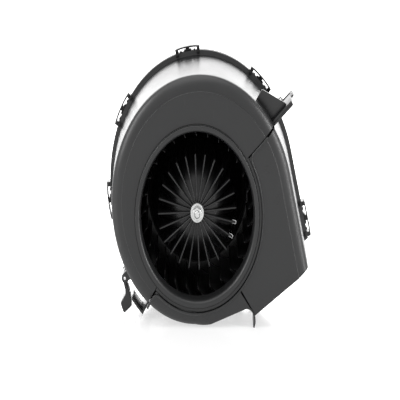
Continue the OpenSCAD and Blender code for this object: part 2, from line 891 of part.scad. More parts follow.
// Helical springs that press the brushes inwards.
module brush_springs() {
    coils = 5;
    spring_r = 1.8;
    color("silver") for (a = [0, 180])
        rotate([90, 0, 0]) rotate([0, 0, a]) translate([brush_front + brush_length, 0, -brush_centre])
            rotate([0, 90, 0]) linear_extrude(spring_length, twist = 360 * coils, slices = 60, $fn = 6)
                translate([spring_r, 0]) circle(r = 0.35, $fn = 6);
}

module motor_end_cap() {
    color("#75787c") difference() {
        union() {
            ring(can_r, bearing_r, can_back, cap_back);
            ring(boss_r, bearing_r, can_back, rear_boss_back - 2);
            bar(boss_r, rear_boss_back - 2, rear_boss_back);
        }
        for (a = [90, 270]) bar(screw_r - 0.5, can_back - 1, cap_back + 1, cap_screw_at * forward(a));
        for (s = [-1, 1])
            bar(lead_r + lead_hole, can_back - 1, cap_back + 1, [s * lead_apart, plug_drop]);
    }
}

cap_screw_at = 24;
module end_cap_screws() {
    color("silver") for (a = [90, 270]) {
        bar(screw_r - 0.5, cap_back - cap_thick, cap_back, cap_screw_at * forward(a));
        bar(screw_r + 1.2, cap_back, cap_back + 2.2, cap_screw_at * forward(a));
    }
}

module motor_bracket() {
    reach = bracket_pcd / 2;
    color("#9a9da1") difference() {
        union() {
            ring(can_r + 4, can_r, bracket_front, bracket_front + bracket_thick);
            slab(bracket_front, bracket_front + bracket_thick) difference() {
                for (a = [90, 210, 330]) {
                    translate(reach * forward(a)) circle(r = isolator_r + 1.5);
                    rotate(a) translate([can_r, -isolator_r]) square([reach - can_r, 2 * isolator_r]);
                }
                circle(r = can_r);
            }
            ring(can_r + bracket_thick, can_r, bracket_front - 5, bracket_front);
        }
        for (a = [90, 210, 330])
            bar(isolator_r - 1.6, bracket_front - 1, bracket_front + 3, reach * forward(a));
    }
}

// Rubber grommets between the bracket and the rear plate.
module isolators() {
    front = bracket_front - isolator_lip;
    color("#141414") for (a = [90, 210, 330])
        rotate([90, 0, 0]) translate([bracket_pcd / 2 * cos(a), bracket_pcd / 2 * sin(a), 0])
            rotate_extrude() mirror([0, 1]) polygon([
                [screw_r, front], [isolator_r, front], [isolator_r, bracket_front],
                [isolator_r - 1.6, bracket_front], [isolator_r - 1.6, bracket_front + bracket_thick],
                [isolator_r, bracket_front + bracket_thick], [isolator_r, rear_front],
                [screw_r, rear_front]]);
}

module bracket_screws() {
    front = bracket_front - isolator_lip;
    color("silver") for (a = [90, 210, 330]) {
        at = bracket_pcd / 2 * forward(a);
        bar(screw_r + 2, front - screw_head, front, at);
        bar(screw_r, front, rear_front, at);
        bar(screw_r - 0.1, rear_front, front - screw_head + screw_length + 2, at);
    }
}

// ---------- electrical connection ----------

plug_size = [16, 9];
plug_drop = -20;
plug_high = 16;
plug_wall = 1.4;
terminal_apart = 3.6;
terminal_size = [0.8, 3.2];
module connector_housing() {
    color("#e6e2d6") difference() {
        translate([-plug_size.x / 2, cup_back - 3, plug_drop - plug_size.y / 2])
            cube([plug_size.x, plug_high + 3, plug_size.y]);
        translate([-plug_size.x / 2 + plug_wall, cup_back + wall + 2,
                   plug_drop - plug_size.y / 2 + plug_wall])
            cube([plug_size.x - 2 * plug_wall, plug_high, plug_size.y - 2 * plug_wall]);
        for (s = [-1, 1])
            translate([s * terminal_apart - terminal_size.x / 2, cup_back - 4,
                       plug_drop - terminal_size.y / 2])
                cube([terminal_size.x, 10, terminal_size.y]);
    }
}

module terminals() {
    color("#d9b65c") for (s = [-1, 1])
        translate([s * terminal_apart - terminal_size.x / 2, cup_back - 6,
                   plug_drop - terminal_size.y / 2])
            cube([terminal_size.x, plug_high + 3, terminal_size.y]);
}

lead_r = 1.1;
lead_hole = 0.7;
lead_apart = 5;
module motor_leads() {
    color("#a02020") for (s = [-1, 1]) {
        bar(lead_r, plate_back + 1, cap_back + 1, [s * lead_apart, plug_drop], 16);
        hull() {
            bar(lead_r, cap_back + 0.8, cap_back + 1, [s * lead_apart, plug_drop], 16);
            bar(lead_r, cup_back - 6.2, cup_back - 6, [s * terminal_apart, plug_drop], 16);
        }
    }
}

inlet_bell();
inlet_casing();
inlet_wall();
outlet_casing();
outlet_wall();
rear_casing();
flange_seal();
flange_clips();
seam_clip();
latch_lever();
latch_pin();
cooling_duct();
impeller();
hub_fins();
fan_blades();
front_rim();
hub_washer();
shaft_nut();
balance_clips();
motor_shaft();
motor_can();
magnets();
front_bearing();
rear_bearing();
thrust_washers();
armature_core();
windings();
commutator();
brush_plate();
brushes();
brush_springs();
motor_end_cap();
end_cap_screws();
motor_bracket();
isolators();
bracket_screws();
connector_housing();
terminals();
motor_leads();
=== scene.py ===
"""Heater blower: detailed surfaces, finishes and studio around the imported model.

The scroll casing, wheel, clips and motor cup are surfaces worked out on grids from the
same arcs and radii as the solids. Everything is in metres, in the model's own frame:
+X right, +Y to the rear along the fan axis, +Z up, origin at the inlet's front rim.
"""

import json
import math

import bmesh
import bpy
import numpy as np
from mathutils import Matrix, Vector


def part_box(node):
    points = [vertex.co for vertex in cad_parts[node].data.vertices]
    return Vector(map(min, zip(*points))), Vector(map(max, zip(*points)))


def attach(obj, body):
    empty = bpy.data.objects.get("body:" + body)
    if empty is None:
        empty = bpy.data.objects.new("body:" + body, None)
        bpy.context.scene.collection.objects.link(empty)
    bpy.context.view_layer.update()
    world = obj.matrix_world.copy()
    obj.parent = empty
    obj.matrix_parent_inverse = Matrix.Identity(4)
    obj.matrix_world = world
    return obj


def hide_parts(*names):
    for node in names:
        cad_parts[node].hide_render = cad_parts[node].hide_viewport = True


bl_info = {
    "name": "Heater blower",
    "version": (1, 0, 0),
    "blender": (4, 5, 0),
    "location": "View3D > Sidebar > Blower",
    "description": "Builds the casing, wheel and fittings of a vehicle's heater blower",
    "category": "Object",
}

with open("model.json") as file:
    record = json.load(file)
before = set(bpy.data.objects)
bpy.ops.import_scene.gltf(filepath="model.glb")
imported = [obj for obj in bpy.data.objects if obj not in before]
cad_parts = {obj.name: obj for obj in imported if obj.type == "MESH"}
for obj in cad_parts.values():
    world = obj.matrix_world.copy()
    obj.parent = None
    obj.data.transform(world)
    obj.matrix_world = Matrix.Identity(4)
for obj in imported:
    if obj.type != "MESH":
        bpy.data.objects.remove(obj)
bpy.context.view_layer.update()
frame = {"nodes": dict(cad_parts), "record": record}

MM = 0.001
PANEL = "Blower"
RIM_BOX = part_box("front_rim")
CUP_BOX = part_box("rear_casing")
NUT_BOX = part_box("shaft_nut")
FLOOR_Z = min(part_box(n)[0].z for n in ("inlet_wall", "outlet_wall", "rear_casing"))


# ---------- sizes and colours that a user would change ----------


def length(name, value, text):
    """A length property in metres."""
    return bpy.props.FloatProperty(name=name, description=text, default=value, unit="LENGTH")


def colour(name, value, text):
    """A linear colour property."""
    return bpy.props.FloatVectorProperty(
        name=name, description=text, default=value, size=3, subtype="COLOR", min=0, max=1
    )


class BLOWER_PG_casing(bpy.types.PropertyGroup):
    """Sizes of the scroll casing."""

    arc_1: length("First arc", 0.099, "Radius of the scroll from the bottom to the left")
    arc_2: length("Second arc", 0.100, "Radius of the scroll on the upper left")
    arc_3: length("Third arc", 0.110, "Radius of the scroll over the top")
    arc_4: length("Fourth arc", 0.108, "Radius of the scroll on the right")
    axis_height: length("Axis height", -FLOOR_Z, "Height of the fan axis above the floor")
    wall: length("Wall", 0.0022, "Thickness of the casing's walls")
    flange_depth: length("Flange depth", 0.086, "Depth of the flange behind the inlet's rim")
    flange_thick: length("Flange thickness", 0.0028, "Thickness of the flange and rear plate")
    flange_width: length("Flange width", 0.0045, "Width of the flange outside the wall")
    shoulder: length("Shoulder", 0.013, "Width of the shoulder round the flat face")
    shoulder_depth: length("Shoulder depth", 0.011, "Depth over which the shoulder falls back")
    outlet_run: length("Outlet run", 0.076, "Straight wall from the last arc to the outlet")
    ramp_run: length("Ramp", 0.040, "Length of the ramp up to the tongue")
    foot_radius: length("Foot radius", 0.0084, "Inner radius of the curled foot")
    foot_wall: length("Foot wall", 0.0016, "Thickness of the curled foot")
    face_set: length("Face set-back", 0.003, "How far the face lies behind the inlet's rim")
    inlet_radius: length("Inlet radius", 0.066, "Radius of the inlet's throat")
    bell_width: length("Bell width", 0.0065, "Radial width of the bell mouth")
    seam_radius: length("Seam radius", 0.076, "Radius of the parting line round the inlet")
    ridge_width: length("Ridge width", 0.0022, "Width of the parting ridge")
    ridge_height: length("Ridge height", 0.0016, "Height of the parting ridge")


class BLOWER_PG_wheel(bpy.types.PropertyGroup):
    """Sizes of the squirrel-cage wheel."""

    radius: length("Radius", RIM_BOX[1].x, "Outside radius of the wheel")
    blades: bpy.props.IntProperty(name="Blades", description="Number of blades", default=28)
    blade_radial: length("Blade depth", 0.0115, "Radial depth of the blades")
    blade_thick: length("Blade thickness", 0.0013, "Thickness of a blade")
    front: length("Front", RIM_BOX[0].y, "Depth of the wheel's front ring")
    back: length("Back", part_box("impeller")[1].y, "Depth of the wheel's rear plate")
    boss_radius: length("Boss radius", 0.0085, "Radius of the hub's boss")
    fins: bpy.props.IntProperty(name="Fins", description="Fins on the dome", default=24)
    fin_reach: length("Fin reach", 0.046, "Radius at which the fins end")
    fin_thick: length("Fin thickness", 0.0016, "Thickness of a fin")


class BLOWER_PG_finish(bpy.types.PropertyGroup):
    """Base colours of the finishes."""

    casing: colour("Casing", (0.0125, 0.0128, 0.0132), "Moulded casing plastic")
    clips: colour("Clips", (0.006, 0.006, 0.0065), "Clip and latch plastic")
    # The wheel's black is set at under a third of the casing's so that the inside of the wheel
    # renders darker: partly the wheel's own black plastic, partly painted shade.
    wheel: colour("Wheel", (0.0035, 0.0035, 0.0038), "Wheel plastic")
    steel: colour("Spring steel", (0.62, 0.62, 0.62), "Bright spring steel")
    zinc: colour("Zinc", (0.58, 0.585, 0.58), "Zinc plated steel")
    floor: colour("Floor", (0.5, 0.5, 0.5), "Pale floor")


GROUPS = {
    "blower_casing": BLOWER_PG_casing,
    "blower_wheel": BLOWER_PG_wheel,
    "blower_finish": BLOWER_PG_finish,
}


# ---------- shader maths ----------


class Value:
    """A shader socket on which Python's operators add Math nodes."""

    def __init__(self, nodes, socket):
        self.nodes = nodes
        self.socket = socket

    def _math(self, operation, *others):
        return self.nodes.node("ShaderNodeMath", {"operation": operation}, values=others)

    def __add__(self, other):
        return self._math("ADD", self, other)

    def __radd__(self, other):
        return self._math("ADD", other, self)

    def __sub__(self, other):
        return self._math("SUBTRACT", self, other)

    def __rsub__(self, other):
        return self._math("SUBTRACT", other, self)

    def __mul__(self, other):
        return self._math("MULTIPLY", self, other)

    def __rmul__(self, other):
        return self._math("MULTIPLY", other, self)

    def larger(self, other):
        """The larger of two values."""
        return self._math("MAXIMUM", self, other)

    def beside(self, name):
        """Another output of the same node."""
        return Value(self.nodes, self.socket.node.outputs[name])

    def clip(self):
        """The value held between 0 and 1."""
        return self.nodes.node(
            "ShaderNodeMath", {"operation": "ADD", "use_clamp": True}, values=(self, 0.0)
        )


class Nodes:
    """Builds the nodes of one tree."""

    def __init__(self, tree):
        self.tree = tree
        self.tree.nodes.clear()

    def node(self, kind, settings=None, sockets=None, values=(), out=0):
        """Adds a node, sets its settings and then its sockets, and returns one output."""
        made = self.tree.nodes.new(kind)
        for key, value in (settings or {}).items():
            if key == "stops":
                for element, (at, shade) in zip(made.color_ramp.elements, value):
                    element.position = at
                    element.color = (shade, shade, shade, 1)
            else:
                setattr(made, key, value)
        for key, value in (*(sockets or {}).items(), *enumerate(values)):
            socket = made.inputs[key]
            if isinstance(value, Value):
                self.tree.links.new(value.socket, socket)
            elif hasattr(socket.default_value, "__len__"):
                socket.default_value = (*value, 1)[:len(socket.default_value)]
            else:
                socket.default_value = value
        return Value(self, made.outputs[out])

    def end(self, kind, shader):
        """Ends the tree in an output node."""
        output = self.tree.nodes.new(kind)
        self.tree.links.new(shader.socket, output.inputs["Surface"])


class Finish(Nodes):
    """Builds one material's nodes."""

    def __init__(self, name):
        self.material = bpy.data.materials.new(name)
        self.material.use_nodes = True
        super().__init__(self.material.node_tree)
        self.place = self.node("ShaderNodeTexCoord", out="Object")

    def noise(self, scale, detail=4.0, rough=0.55, stretch=None):
        """Noise on object coordinates, with scale in cycles a metre."""
        place = self.place
        if stretch:
            place = self.node("ShaderNodeMapping", sockets={"Vector": place, "Scale": stretch})
        sockets = {"Vector": place, "Scale": scale, "Detail": detail, "Roughness": rough}
        return self.node("ShaderNodeTexNoise", sockets=sockets)

    def ramp(self, value, *stops):
        """A value through a ramp of two (position, shade) stops."""
        return self.node("ShaderNodeValToRGB", {"stops": stops}, {"Fac": value})

    def blend(self, share, first, second):
        """Mixes two colours: the node's seventh and eighth sockets are its colours."""
        return self.node("ShaderNodeMix", {"data_type": "RGBA"},
                         {"Factor": share, 6: first, 7: second}, out=2)

    def bump(self, height, strength, distance, below=None):
        """A bump normal; below is another normal under it."""
        sockets = {"Height": height, "Strength": strength, "Distance": distance}
        if below is not None:
            sockets["Normal"] = below
        return self.node("ShaderNodeBump", sockets=sockets)

    def surface(self, **sockets):
        """Ends the material in one Principled shader and returns the material."""
        named = {key.replace("_", " "): value for key, value in sockets.items()}
        self.end("ShaderNodeOutputMaterial", self.node("ShaderNodeBsdfPrincipled", sockets=named))
        return self.material


def toned(base, share, lift=0.0):
    """A colour made darker or lighter."""
    return [c * share + lift for c in base]


def moulded(name, base, rough, grain=0.25, gloss_drift=0.06, scuffs=0.25):
    """Injection-moulded plastic: fine spark-eroded grain, slow gloss drift, faint rubs."""
    f = Finish(name)
    drift = f.noise(22, 3)
    grit = f.noise(2600, 2, 0.6)
    scratch = f.ramp(f.noise(190, 6, 0.7, (1, 1, 0.22)), (0.6, 0.0), (0.74, 1.0))
    tone = f.blend(drift, toned(base, 0.82), toned(base, 1.2))
    worn = f.blend(scratch * scuffs, tone, toned(base, 2.4, 0.003))
    gloss = rough + (drift - 0.5) * gloss_drift * 2 + (grit - 0.5) * 0.05 + scratch * 0.05
    return f.surface(
        Base_Color=worn,
        Roughness=gloss.clip(),
        Normal=f.bump(grit, grain, 0.00006, f.bump(drift, 0.12, 0.0006)),
        IOR=1.5,
    )


def bright_metal(name, base, rough, along=(1, 1, 9), stain=0.12):
    """Drawn or plated metal: streaks along the working direction and dull patches."""
    f = Finish(name)
    streak = f.noise(900, 5, 0.65, along)
    patch = f.ramp(f.noise(140, 4), (0.42, 0.0), (0.66, 1.0))
    tone = f.blend(patch * stain * 3, base, toned(base, 0.72))
    return f.surface(
        Base_Color=tone,
        Metallic=1.0,
        Roughness=(rough + (streak - 0.5) * 0.16 + patch * stain).clip(),
        Normal=f.bump(streak, 0.12, 0.00004),
    )


def dull(name, base, rough, scale=700, grain=0.3, metal=0.0):
    """Pressed, sintered or rubbery material: an even speckle."""
    f = Finish(name)
    speck = f.noise(scale, 4, 0.65)
    wide = f.noise(60, 3)
    share = (speck * 0.7 + wide * 0.3).clip()
    tone = f.blend(share, toned(base, 0.65), toned(base, 1.35))
    return f.surface(
        Base_Color=tone,
        Metallic=metal,
        Roughness=(rough + (speck - 0.5) * 0.2).clip(),
        Normal=f.bump(speck, grain, 0.0001),
    )


def wound_copper(name):
    """Enamelled wire: fine turns along the windings, seen as ridges. The colour is painted darker in
    the grooves between turns and lighter on their crowns: painted shade and painted highlight on the
    same rings as the bump.
    """
    f = Finish(name)
    wire = f.node(
        "ShaderNodeTexWave",
        {"wave_type": "RINGS", "rings_direction": "Y"},
        {"Vector": f.place, "Scale": 420.0, "Distortion": 1.5, "Detail": 2.0},
    )
    # painted shade and painted highlight: the wire's rings darken the colour in the grooves and
    # lighten it on the crowns
    tone = f.blend(wire, [0.16, 0.035, 0.012], [0.62, 0.2, 0.07])
    return f.surface(Base_Color=tone, Metallic=0.7, Roughness=0.32, Normal=f.bump(wire, 0.6, 0.0004))


def make_finishes(colours):
    """All finishes by the record's slot name."""
    return {
        "casing_plastic": moulded("Casing plastic", colours.casing, 0.36),
        "clip_plastic": moulded("Clip plastic", colours.clips, 0.3, scuffs=0.3),
        # the wheel's darker base stands partly for painted shade inside the wheel
        "wheel_plastic": moulded("Wheel plastic", colours.wheel, 0.42, scuffs=0.1),
        "spring_steel": bright_metal("Spring steel", colours.steel, 0.2),
        "zinc_steel": bright_metal("Zinc plate", colours.zinc, 0.28, (1, 1, 1)),
        "can_steel": bright_metal("Drawn steel", (0.45, 0.46, 0.47), 0.33, (1, 0.12, 1)),
        "core_steel": bright_metal("Core sheets", (0.3, 0.31, 0.32), 0.45, (1, 14, 1)),
        "ferrite": dull("Ferrite", (0.035, 0.035, 0.04), 0.7),
        "bronze": dull("Sintered bronze", (0.5, 0.33, 0.14), 0.42, 1800, 0.25, 1.0),
        "copper": wound_copper("Enamelled copper"),
        "carbon": dull("Carbon", (0.02, 0.02, 0.022), 0.55, 1500),
        "brush_board": dull("Resin board", (0.1, 0.055, 0.03), 0.5, 500),
        "washer_plastic": dull("Nylon", (0.6, 0.58, 0.5), 0.4, 300, 0.1),
        "connector_plastic": dull("Natural nylon", (0.62, 0.58, 0.48), 0.38, 260, 0.12),
        "lead_sleeve": dull("Lead sleeve", (0.3, 0.02, 0.02), 0.45, 300, 0.1),
        "rubber": dull("Rubber", (0.012, 0.012, 0.012), 0.7, 1200, 0.35),
    }


FINISHES = {}


# ---------- surfaces on grids ----------

SIDE_SHARE = 0.48  # the most of a side that one corner's arc may take up


def forward(degrees):
    """Unit vector at an angle from +X towards +Z, for one angle or an array."""
    a = np.radians(degrees)
    return np.stack([np.cos(a), np.sin(a)], axis=-1)


def outward(heading):
    """Unit vector to the left of a heading: away from the scroll's inside."""
    return forward(np.asarray(heading, float) + 90)


def unit(vectors):
    """The vectors with a length of one."""
    return vectors / np.maximum(np.linalg.norm(vectors, axis=-1, keepdims=True), 1e-12)


def at_depth(flat, depth):
    """Front-view points (x, z) as points (x, depth, z)."""
    return np.stack([flat[..., 0], np.broadcast_to(depth, flat.shape[:-1]), flat[..., 1]], -1)


def fillet(points, radii, steps=4):
    """A polyline whose inner corners are arcs.

    At each corner the arc touches both sides at radius * tan(turn / 2) from the corner, and
    its points are the corner plus a circle of that radius about the arc's centre.
    """
    points = np.asarray(points, float)
    out = [points[0]]
    for before, here, after, r in zip(points[:-2], points[1:-1], points[2:], radii):
        a, b = unit(before - here), unit(after - here)
        half = math.acos(max(-1.0, min(1.0, float(a @ b)))) / 2
        if r <= 0 or half > math.radians(89):
            out.append(here)
            continue
        reach = min(r / math.tan(half), SIDE_SHARE * np.linalg.norm(before - here),
                    SIDE_SHARE * np.linalg.norm(after - here))
        radius = reach * math.tan(half)
        middle = here + unit(a + b) * radius / math.sin(half)
        start, end = here + a * reach - middle, here + b * reach - middle
        t = np.linspace(0, 1, steps + 1)[:, None]
        angle = math.acos(max(-1.0, min(1.0, float(start @ end) / radius**2)))
        arc = (np.sin((1 - t) * angle) * start + np.sin(t * angle) * end) / math.sin(angle)
        out.extend(middle + arc)
    out.append(points[-1])
    return np.array(out)


def closed_fillet(points, radii, steps=3):
    """The same for a closed outline: radii has one value for each point."""
    p = np.asarray(points, float)
    loop = np.vstack([p[-1:], p, p[:1]])
    return fillet(loop, radii, steps)[1:-1]


class Shape:
    """Collects closed grids and makes them one mesh object."""

    def __init__(self):
        self.points = []
        self.faces = []
        self.count = 0

    def _add(self, points):
        start = self.count
        self.points.append(np.asarray(points, float).reshape(-1, 3))
        self.count += len(self.points[-1])
        return start

    def grid(self, xyz, wrap_u=False, wrap_v=True, caps=True):
        """Quads between neighbours of an (n, m, 3) grid; the open ends get flat caps."""
        n, m = xyz.shape[:2]
        start = self._add(xyz)
        index = start + np.arange(n * m).reshape(n, m)
        down = np.vstack([index, index[:1]]) if wrap_u else index
        both = np.hstack([down, down[:, :1]]) if wrap_v else down
        quads = np.stack([both[:-1, :-1], both[:-1, 1:], both[1:, 1:], both[1:, :-1]], -1)
        self.faces.extend(quads.reshape(-1, 4).tolist())
        if caps and not wrap_u:
            self.faces.append(index[0, ::-1].tolist())
            self.faces.append(index[-1].tolist())
        return self

    def turned(self, profile, centre=(0, 0), steps=96, start=0, sweep=360):
        """A [radius, depth] profile turned about the line through centre:
        x = cx + r cos a, z = cz + r sin a, y = depth."""
        profile = np.asarray(profile, float)
        whole = sweep >= 360
        a = np.radians(start + sweep * np.arange(steps + (0 if whole else 1)) / steps)[:, None]
        r, y = profile[:, 0], profile[:, 1]
        flat = np.stack([centre[0] + r * np.cos(a), centre[1] + r * np.sin(a)], -1)
        return self.grid(at_depth(flat, y), wrap_u=whole)

    def prism(self, outline, y0, y1, edge=0.0, steps=2, at=(0, 0), turn=0.0):
        """A front-view outline between two depths. The edges are rounded by rings that move
        inwards by edge * (1 - sin a) while the depth moves by edge * (1 - cos a)."""
        outline = np.asarray(outline, float)
        c, s = math.cos(math.radians(turn)), math.sin(math.radians(turn))
        outline = outline @ np.array([[c, s], [-s, c]]) + np.asarray(at)
        ahead = np.roll(outline, -1, 0) - outline
        behind = outline - np.roll(outline, 1, 0)
        n1, n2 = unit(ahead)[:, ::-1] * (1, -1), unit(behind)[:, ::-1] * (1, -1)
        area = 0.5 * np.sum(outline[:, 0] * np.roll(outline[:, 1], -1)
                            - np.roll(outline[:, 0], -1) * outline[:, 1])
        normal = (n1 + n2) / np.maximum(1 + np.sum(n1 * n2, axis=1), 0.35)[:, None]
        normal *= np.sign(area)
        a = np.radians(np.linspace(0, 90, steps + 1)) if edge > 0 else np.array([math.pi / 2])
        inset = edge * (1 - np.sin(a))
        rise = edge * (1 - np.cos(a))
        insets = np.concatenate([inset, inset[::-1]])
        depths = np.concatenate([y0 + rise, y1 - rise[::-1]])
        flat = outline[None] - insets[:, None, None] * normal[None]
        return self.grid(at_depth(flat, depths[:, None]))

    def loft(self, rings):
        """Closed rings of equal length joined in order, with caps."""
        return self.grid(np.asarray(rings, float))

    def block(self, low, high, edge=0.0004):
        """A box between two corners with rounded edges."""
        (x0, y0, z0), (x1, y1, z1) = low, high
        outline = closed_fillet([(x0, z0), (x1, z0), (x1, z1), (x0, z1)], [edge] * 4, 3)
        return self.prism(outline, y0, y1, edge)

    def make(self, name, body, slot, replaces=(), sharp=38):
        """The mesh object: faces outwards, smooth but for edges sharper than sharp degrees."""
        mesh = bpy.data.meshes.new(name)
        mesh.from_pydata(np.vstack(self.points).tolist(), [], self.faces)
        work = bmesh.new()
        work.from_mesh(mesh)
        bmesh.ops.remove_doubles(work, verts=work.verts, dist=2e-7)
        bmesh.ops.dissolve_degenerate(work, edges=work.edges, dist=1e-7)
        bmesh.ops.recalc_face_normals(work, faces=work.faces)
        work.to_mesh(mesh)
        work.free()
        mesh.polygons.foreach_set("use_smooth", np.ones(len(mesh.polygons), bool))
        mesh.set_sharp_from_angle(angle=math.radians(sharp))
        piece = bpy.data.objects.new(name, mesh)
        bpy.context.scene.collection.objects.link(piece)
        mesh.materials.append(FINISHES[slot])
        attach(piece, body)
        if replaces:
            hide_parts(*replaces)
        return piece


def bar(radius, y0, y1, edge=0.0004):
    """Profile of a round bar on the axis with rounded ends, closed on the axis."""
    return fillet([(0, y0), (radius, y0), (radius, y1), (0, y1)], [edge, edge], 3)


def washer(r_in, r_out, y0, y1, edge=0.0003):
    """Profile of a flat ring with rounded edges."""
    return closed_fillet([(r_in, y0), (r_out, y0), (r_out, y1), (r_in, y1)], [edge] * 4, 3)


# ---------- the scroll ----------

TURNS = (90, 60, 90, 16)  # degrees of the four arcs, from the bottom round to the right
ARC_STEP = 1.25  # degrees between stations on the arcs
START_X = -0.002
RAMP_RADIUS = 0.066
RAMP_SLOPE = 16
TONGUE_ANGLE = 22
TONGUE_SHARE = 0.15
FOOT_RIM = 0.0002  # the foot has no flange, only this much at its rear edge
SEAM_HIGH = 37
SEAM_LOW = 231
SEAM_GAP = 0.1 * MM

# The face's rounded edge: millimetres outwards from the flat face and behind it.
FACE_EDGE = ((0, 0), (0.3, 0.04), (0.55, 0.17), (0.72, 0.4), (0.8, 0.8), (0.92, 1.15), (1.2, 1.32))
SHOULDER_START = (1.5, 1.42)


class Scroll:
    """The scroll's outline as stations, from the foot's free end to the outlet's corner.

    Each station has a point, an outward direction, the share of the full shoulder, the
    wall's thickness and the flange's width. The arcs are tangent: each centre lies on the
    line through the last centre and the point where they meet.
    """

    def __init__(self, s):
        self.s = s
        self.parts = []
        start = np.array([START_X, -s.axis_height])
        self.foot_and_ramp(start)
        self.arcs(start)
        self.straight_wall()
        columns = [np.concatenate(column) for column in zip(*self.parts)]
        self.p, self.n, self.share, self.thick, self.flange = columns

    def stations(self, points, out, share, wall, flange):
        """Adds stations: share, wall and flange are one value or one for each point."""
        rest = [np.broadcast_to(value, len(points)) for value in (share, wall, flange)]
        self.parts.append((points, out, *rest))

    def foot_and_ramp(self, start):
        """The curled foot, the straight ramp down from it and the ramp's bend."""
        s = self.s
        down = outward(RAMP_SLOPE + 180)
        centre = start + (0, RAMP_RADIUS)
        ramp_start = centre + RAMP_RADIUS * down
        ramp_end = ramp_start + s.ramp_run * forward(RAMP_SLOPE)
        foot = ramp_end + s.foot_radius * down
        outer = s.foot_radius + s.foot_wall
        self.tongue = foot + outer * forward(TONGUE_ANGLE)
        low = math.degrees(math.asin((-s.axis_height - foot[1]) / outer))
        curl = np.linspace(low, RAMP_SLOPE + 90, 40)
        curl = np.sort(np.append(curl, TONGUE_ANGLE))
        self.n_foot = len(curl)
        self.tongue_at = int(np.argmin(np.abs(curl - TONGUE_ANGLE)))
        self.stations(foot + s.foot_radius * forward(curl), -forward(curl), TONGUE_SHARE,
                      s.foot_wall, FOOT_RIM)
        ramp = np.linspace(0.1, 1, 8)[:, None]
        self.stations(ramp_end + (ramp_start - ramp_end) * ramp, np.tile(down, (8, 1)),
                      TONGUE_SHARE, s.wall, s.flange_width)
        bend = np.linspace(RAMP_SLOPE, 0, 14)[1:-1]
        share = TONGUE_SHARE + (1 - TONGUE_SHARE) * (1 - bend / RAMP_SLOPE)
        self.stations(centre - RAMP_RADIUS * outward(bend), -outward(bend), share, s.wall,
                      s.flange_width)

    def arcs(self, start):
        """The four arcs of the rim."""
        s = self.s
        self.radii = np.array([s.arc_1, s.arc_2, s.arc_3, s.arc_4])
        headings = 180 - np.concatenate([[0], np.cumsum(TURNS)])
        self.end_heading = headings[-1]
        self.centres = [start + (0, self.radii[0])]
        for i in range(1, len(TURNS)):
            shift = (self.radii[i - 1] - self.radii[i]) * outward(headings[i])
            self.centres.append(self.centres[-1] + shift)
        for turn, heading, centre, radius in zip(TURNS, headings, self.centres, self.radii):
            h = heading - np.arange(0, turn, ARC_STEP)
            self.stations(centre + radius * outward(h), outward(h), 1.0, s.wall, s.flange_width)

    def straight_wall(self):
        """The straight wall to the outlet; its last station is skewed onto the outlet's plane."""
        s = self.s
        ahead, out = forward(self.end_heading), outward(self.end_heading)
        end = self.centres[-1] + self.radii[-1] * out
        self.corner = end + s.outlet_run * ahead
        across = self.corner - self.tongue
        outlet_angle = math.degrees(math.atan2(across[1], across[0]))
        skew = np.tile(out, (9, 1))
        skew[-1] -= math.tan(math.radians(outlet_angle - self.end_heading - 90)) * ahead
        run = np.linspace(0, 1, 9)[:, None]
        self.stations(end + run * s.outlet_run * ahead, skew, 1.0, s.wall, s.flange_width)

    def angles(self):
        """Angle of each station's face edge about the fan axis, from the foot upwards."""
        edge = self.p - (self.s.shoulder * self.share)[:, None] * self.n
        a = np.degrees(np.arctan2(edge[:, 1], edge[:, 0]))
        return a % 360

    def flange_outline(self):
        """Outline of the flange, from the tongue on."""
        return (self.p + self.flange[:, None] * self.n)[self.tongue_at:]

    def section(self, i, j=None):
        """Outer and inner lines of the wall at stations i to j, as (n, m, 2) of offset, depth.

        The outer line runs from the face's edge over the shoulder and down the wall to the
        flange; the inner line runs back. Both are one wall's thickness apart.
        """
        s = self.s
        k = self.share[i:j, None]
        w, d = s.shoulder * k, s.shoulder_depth * k
        t = self.thick[i:j, None]
        fl = self.flange[i:j, None]
        fs, fb = s.face_set, s.face_set + s.wall
        flat = np.zeros_like(w)
        rf = s.flange_depth + s.flange_thick
        r = 0.0006

        def rounded(u, x0, y0, y1):
            """A point on the shoulder's curve from (x0, y0) to (0, y1)."""
            lift = np.sin(u * math.pi / 2) ** 1.15
            drop = 1 - np.cos(u * math.pi / 2)
            return x0 * (1 - lift), y0 + (y1 - y0) * (0.38 * u + 0.62 * drop)

        outer = [(-w + x * MM * k, fs + y * MM * k) for x, y in FACE_EDGE]
        t_arc = np.linspace(0.04, 1, 15)
        x0, y0 = SHOULDER_START
        outer += [rounded(u, -w + x0 * MM * k, fs + y0 * MM * k, fs + d) for u in t_arc]
        for u in (0.04, 0.3, 0.6, 0.9):
            outer.append((flat, fs + d + (s.flange_depth - fs - d) * u))
        outer += [
            (flat, flat + s.flange_depth - r), (flat + 0.3 * r, flat + s.flange_depth - 0.3 * r),
            (flat + np.minimum(r, fl * 0.5), flat + s.flange_depth),
            (np.maximum(fl - r, fl * 0.6), flat + s.flange_depth),
            (np.maximum(fl - 0.3 * r, fl * 0.9), flat + s.flange_depth + 0.3 * r),
            (fl, flat + s.flange_depth + r), (fl, flat + rf - 0.2 * MM),
            (np.maximum(fl - 0.2 * MM, fl * 0.8), flat + rf),
        ]
        inner = [(-t, flat + rf), (-t, fb + d)]
        for u in t_arc[::-1]:
            x, y = rounded(u, -w, fb + 0.1 * MM * k, fb + d)
            inner.append((x - t, y))
        inner += [(-w - t, flat + fb)]
        lines = outer + inner
        return np.stack([np.stack(np.broadcast_arrays(a, b), -1)[:, 0] for a, b in lines], 1)


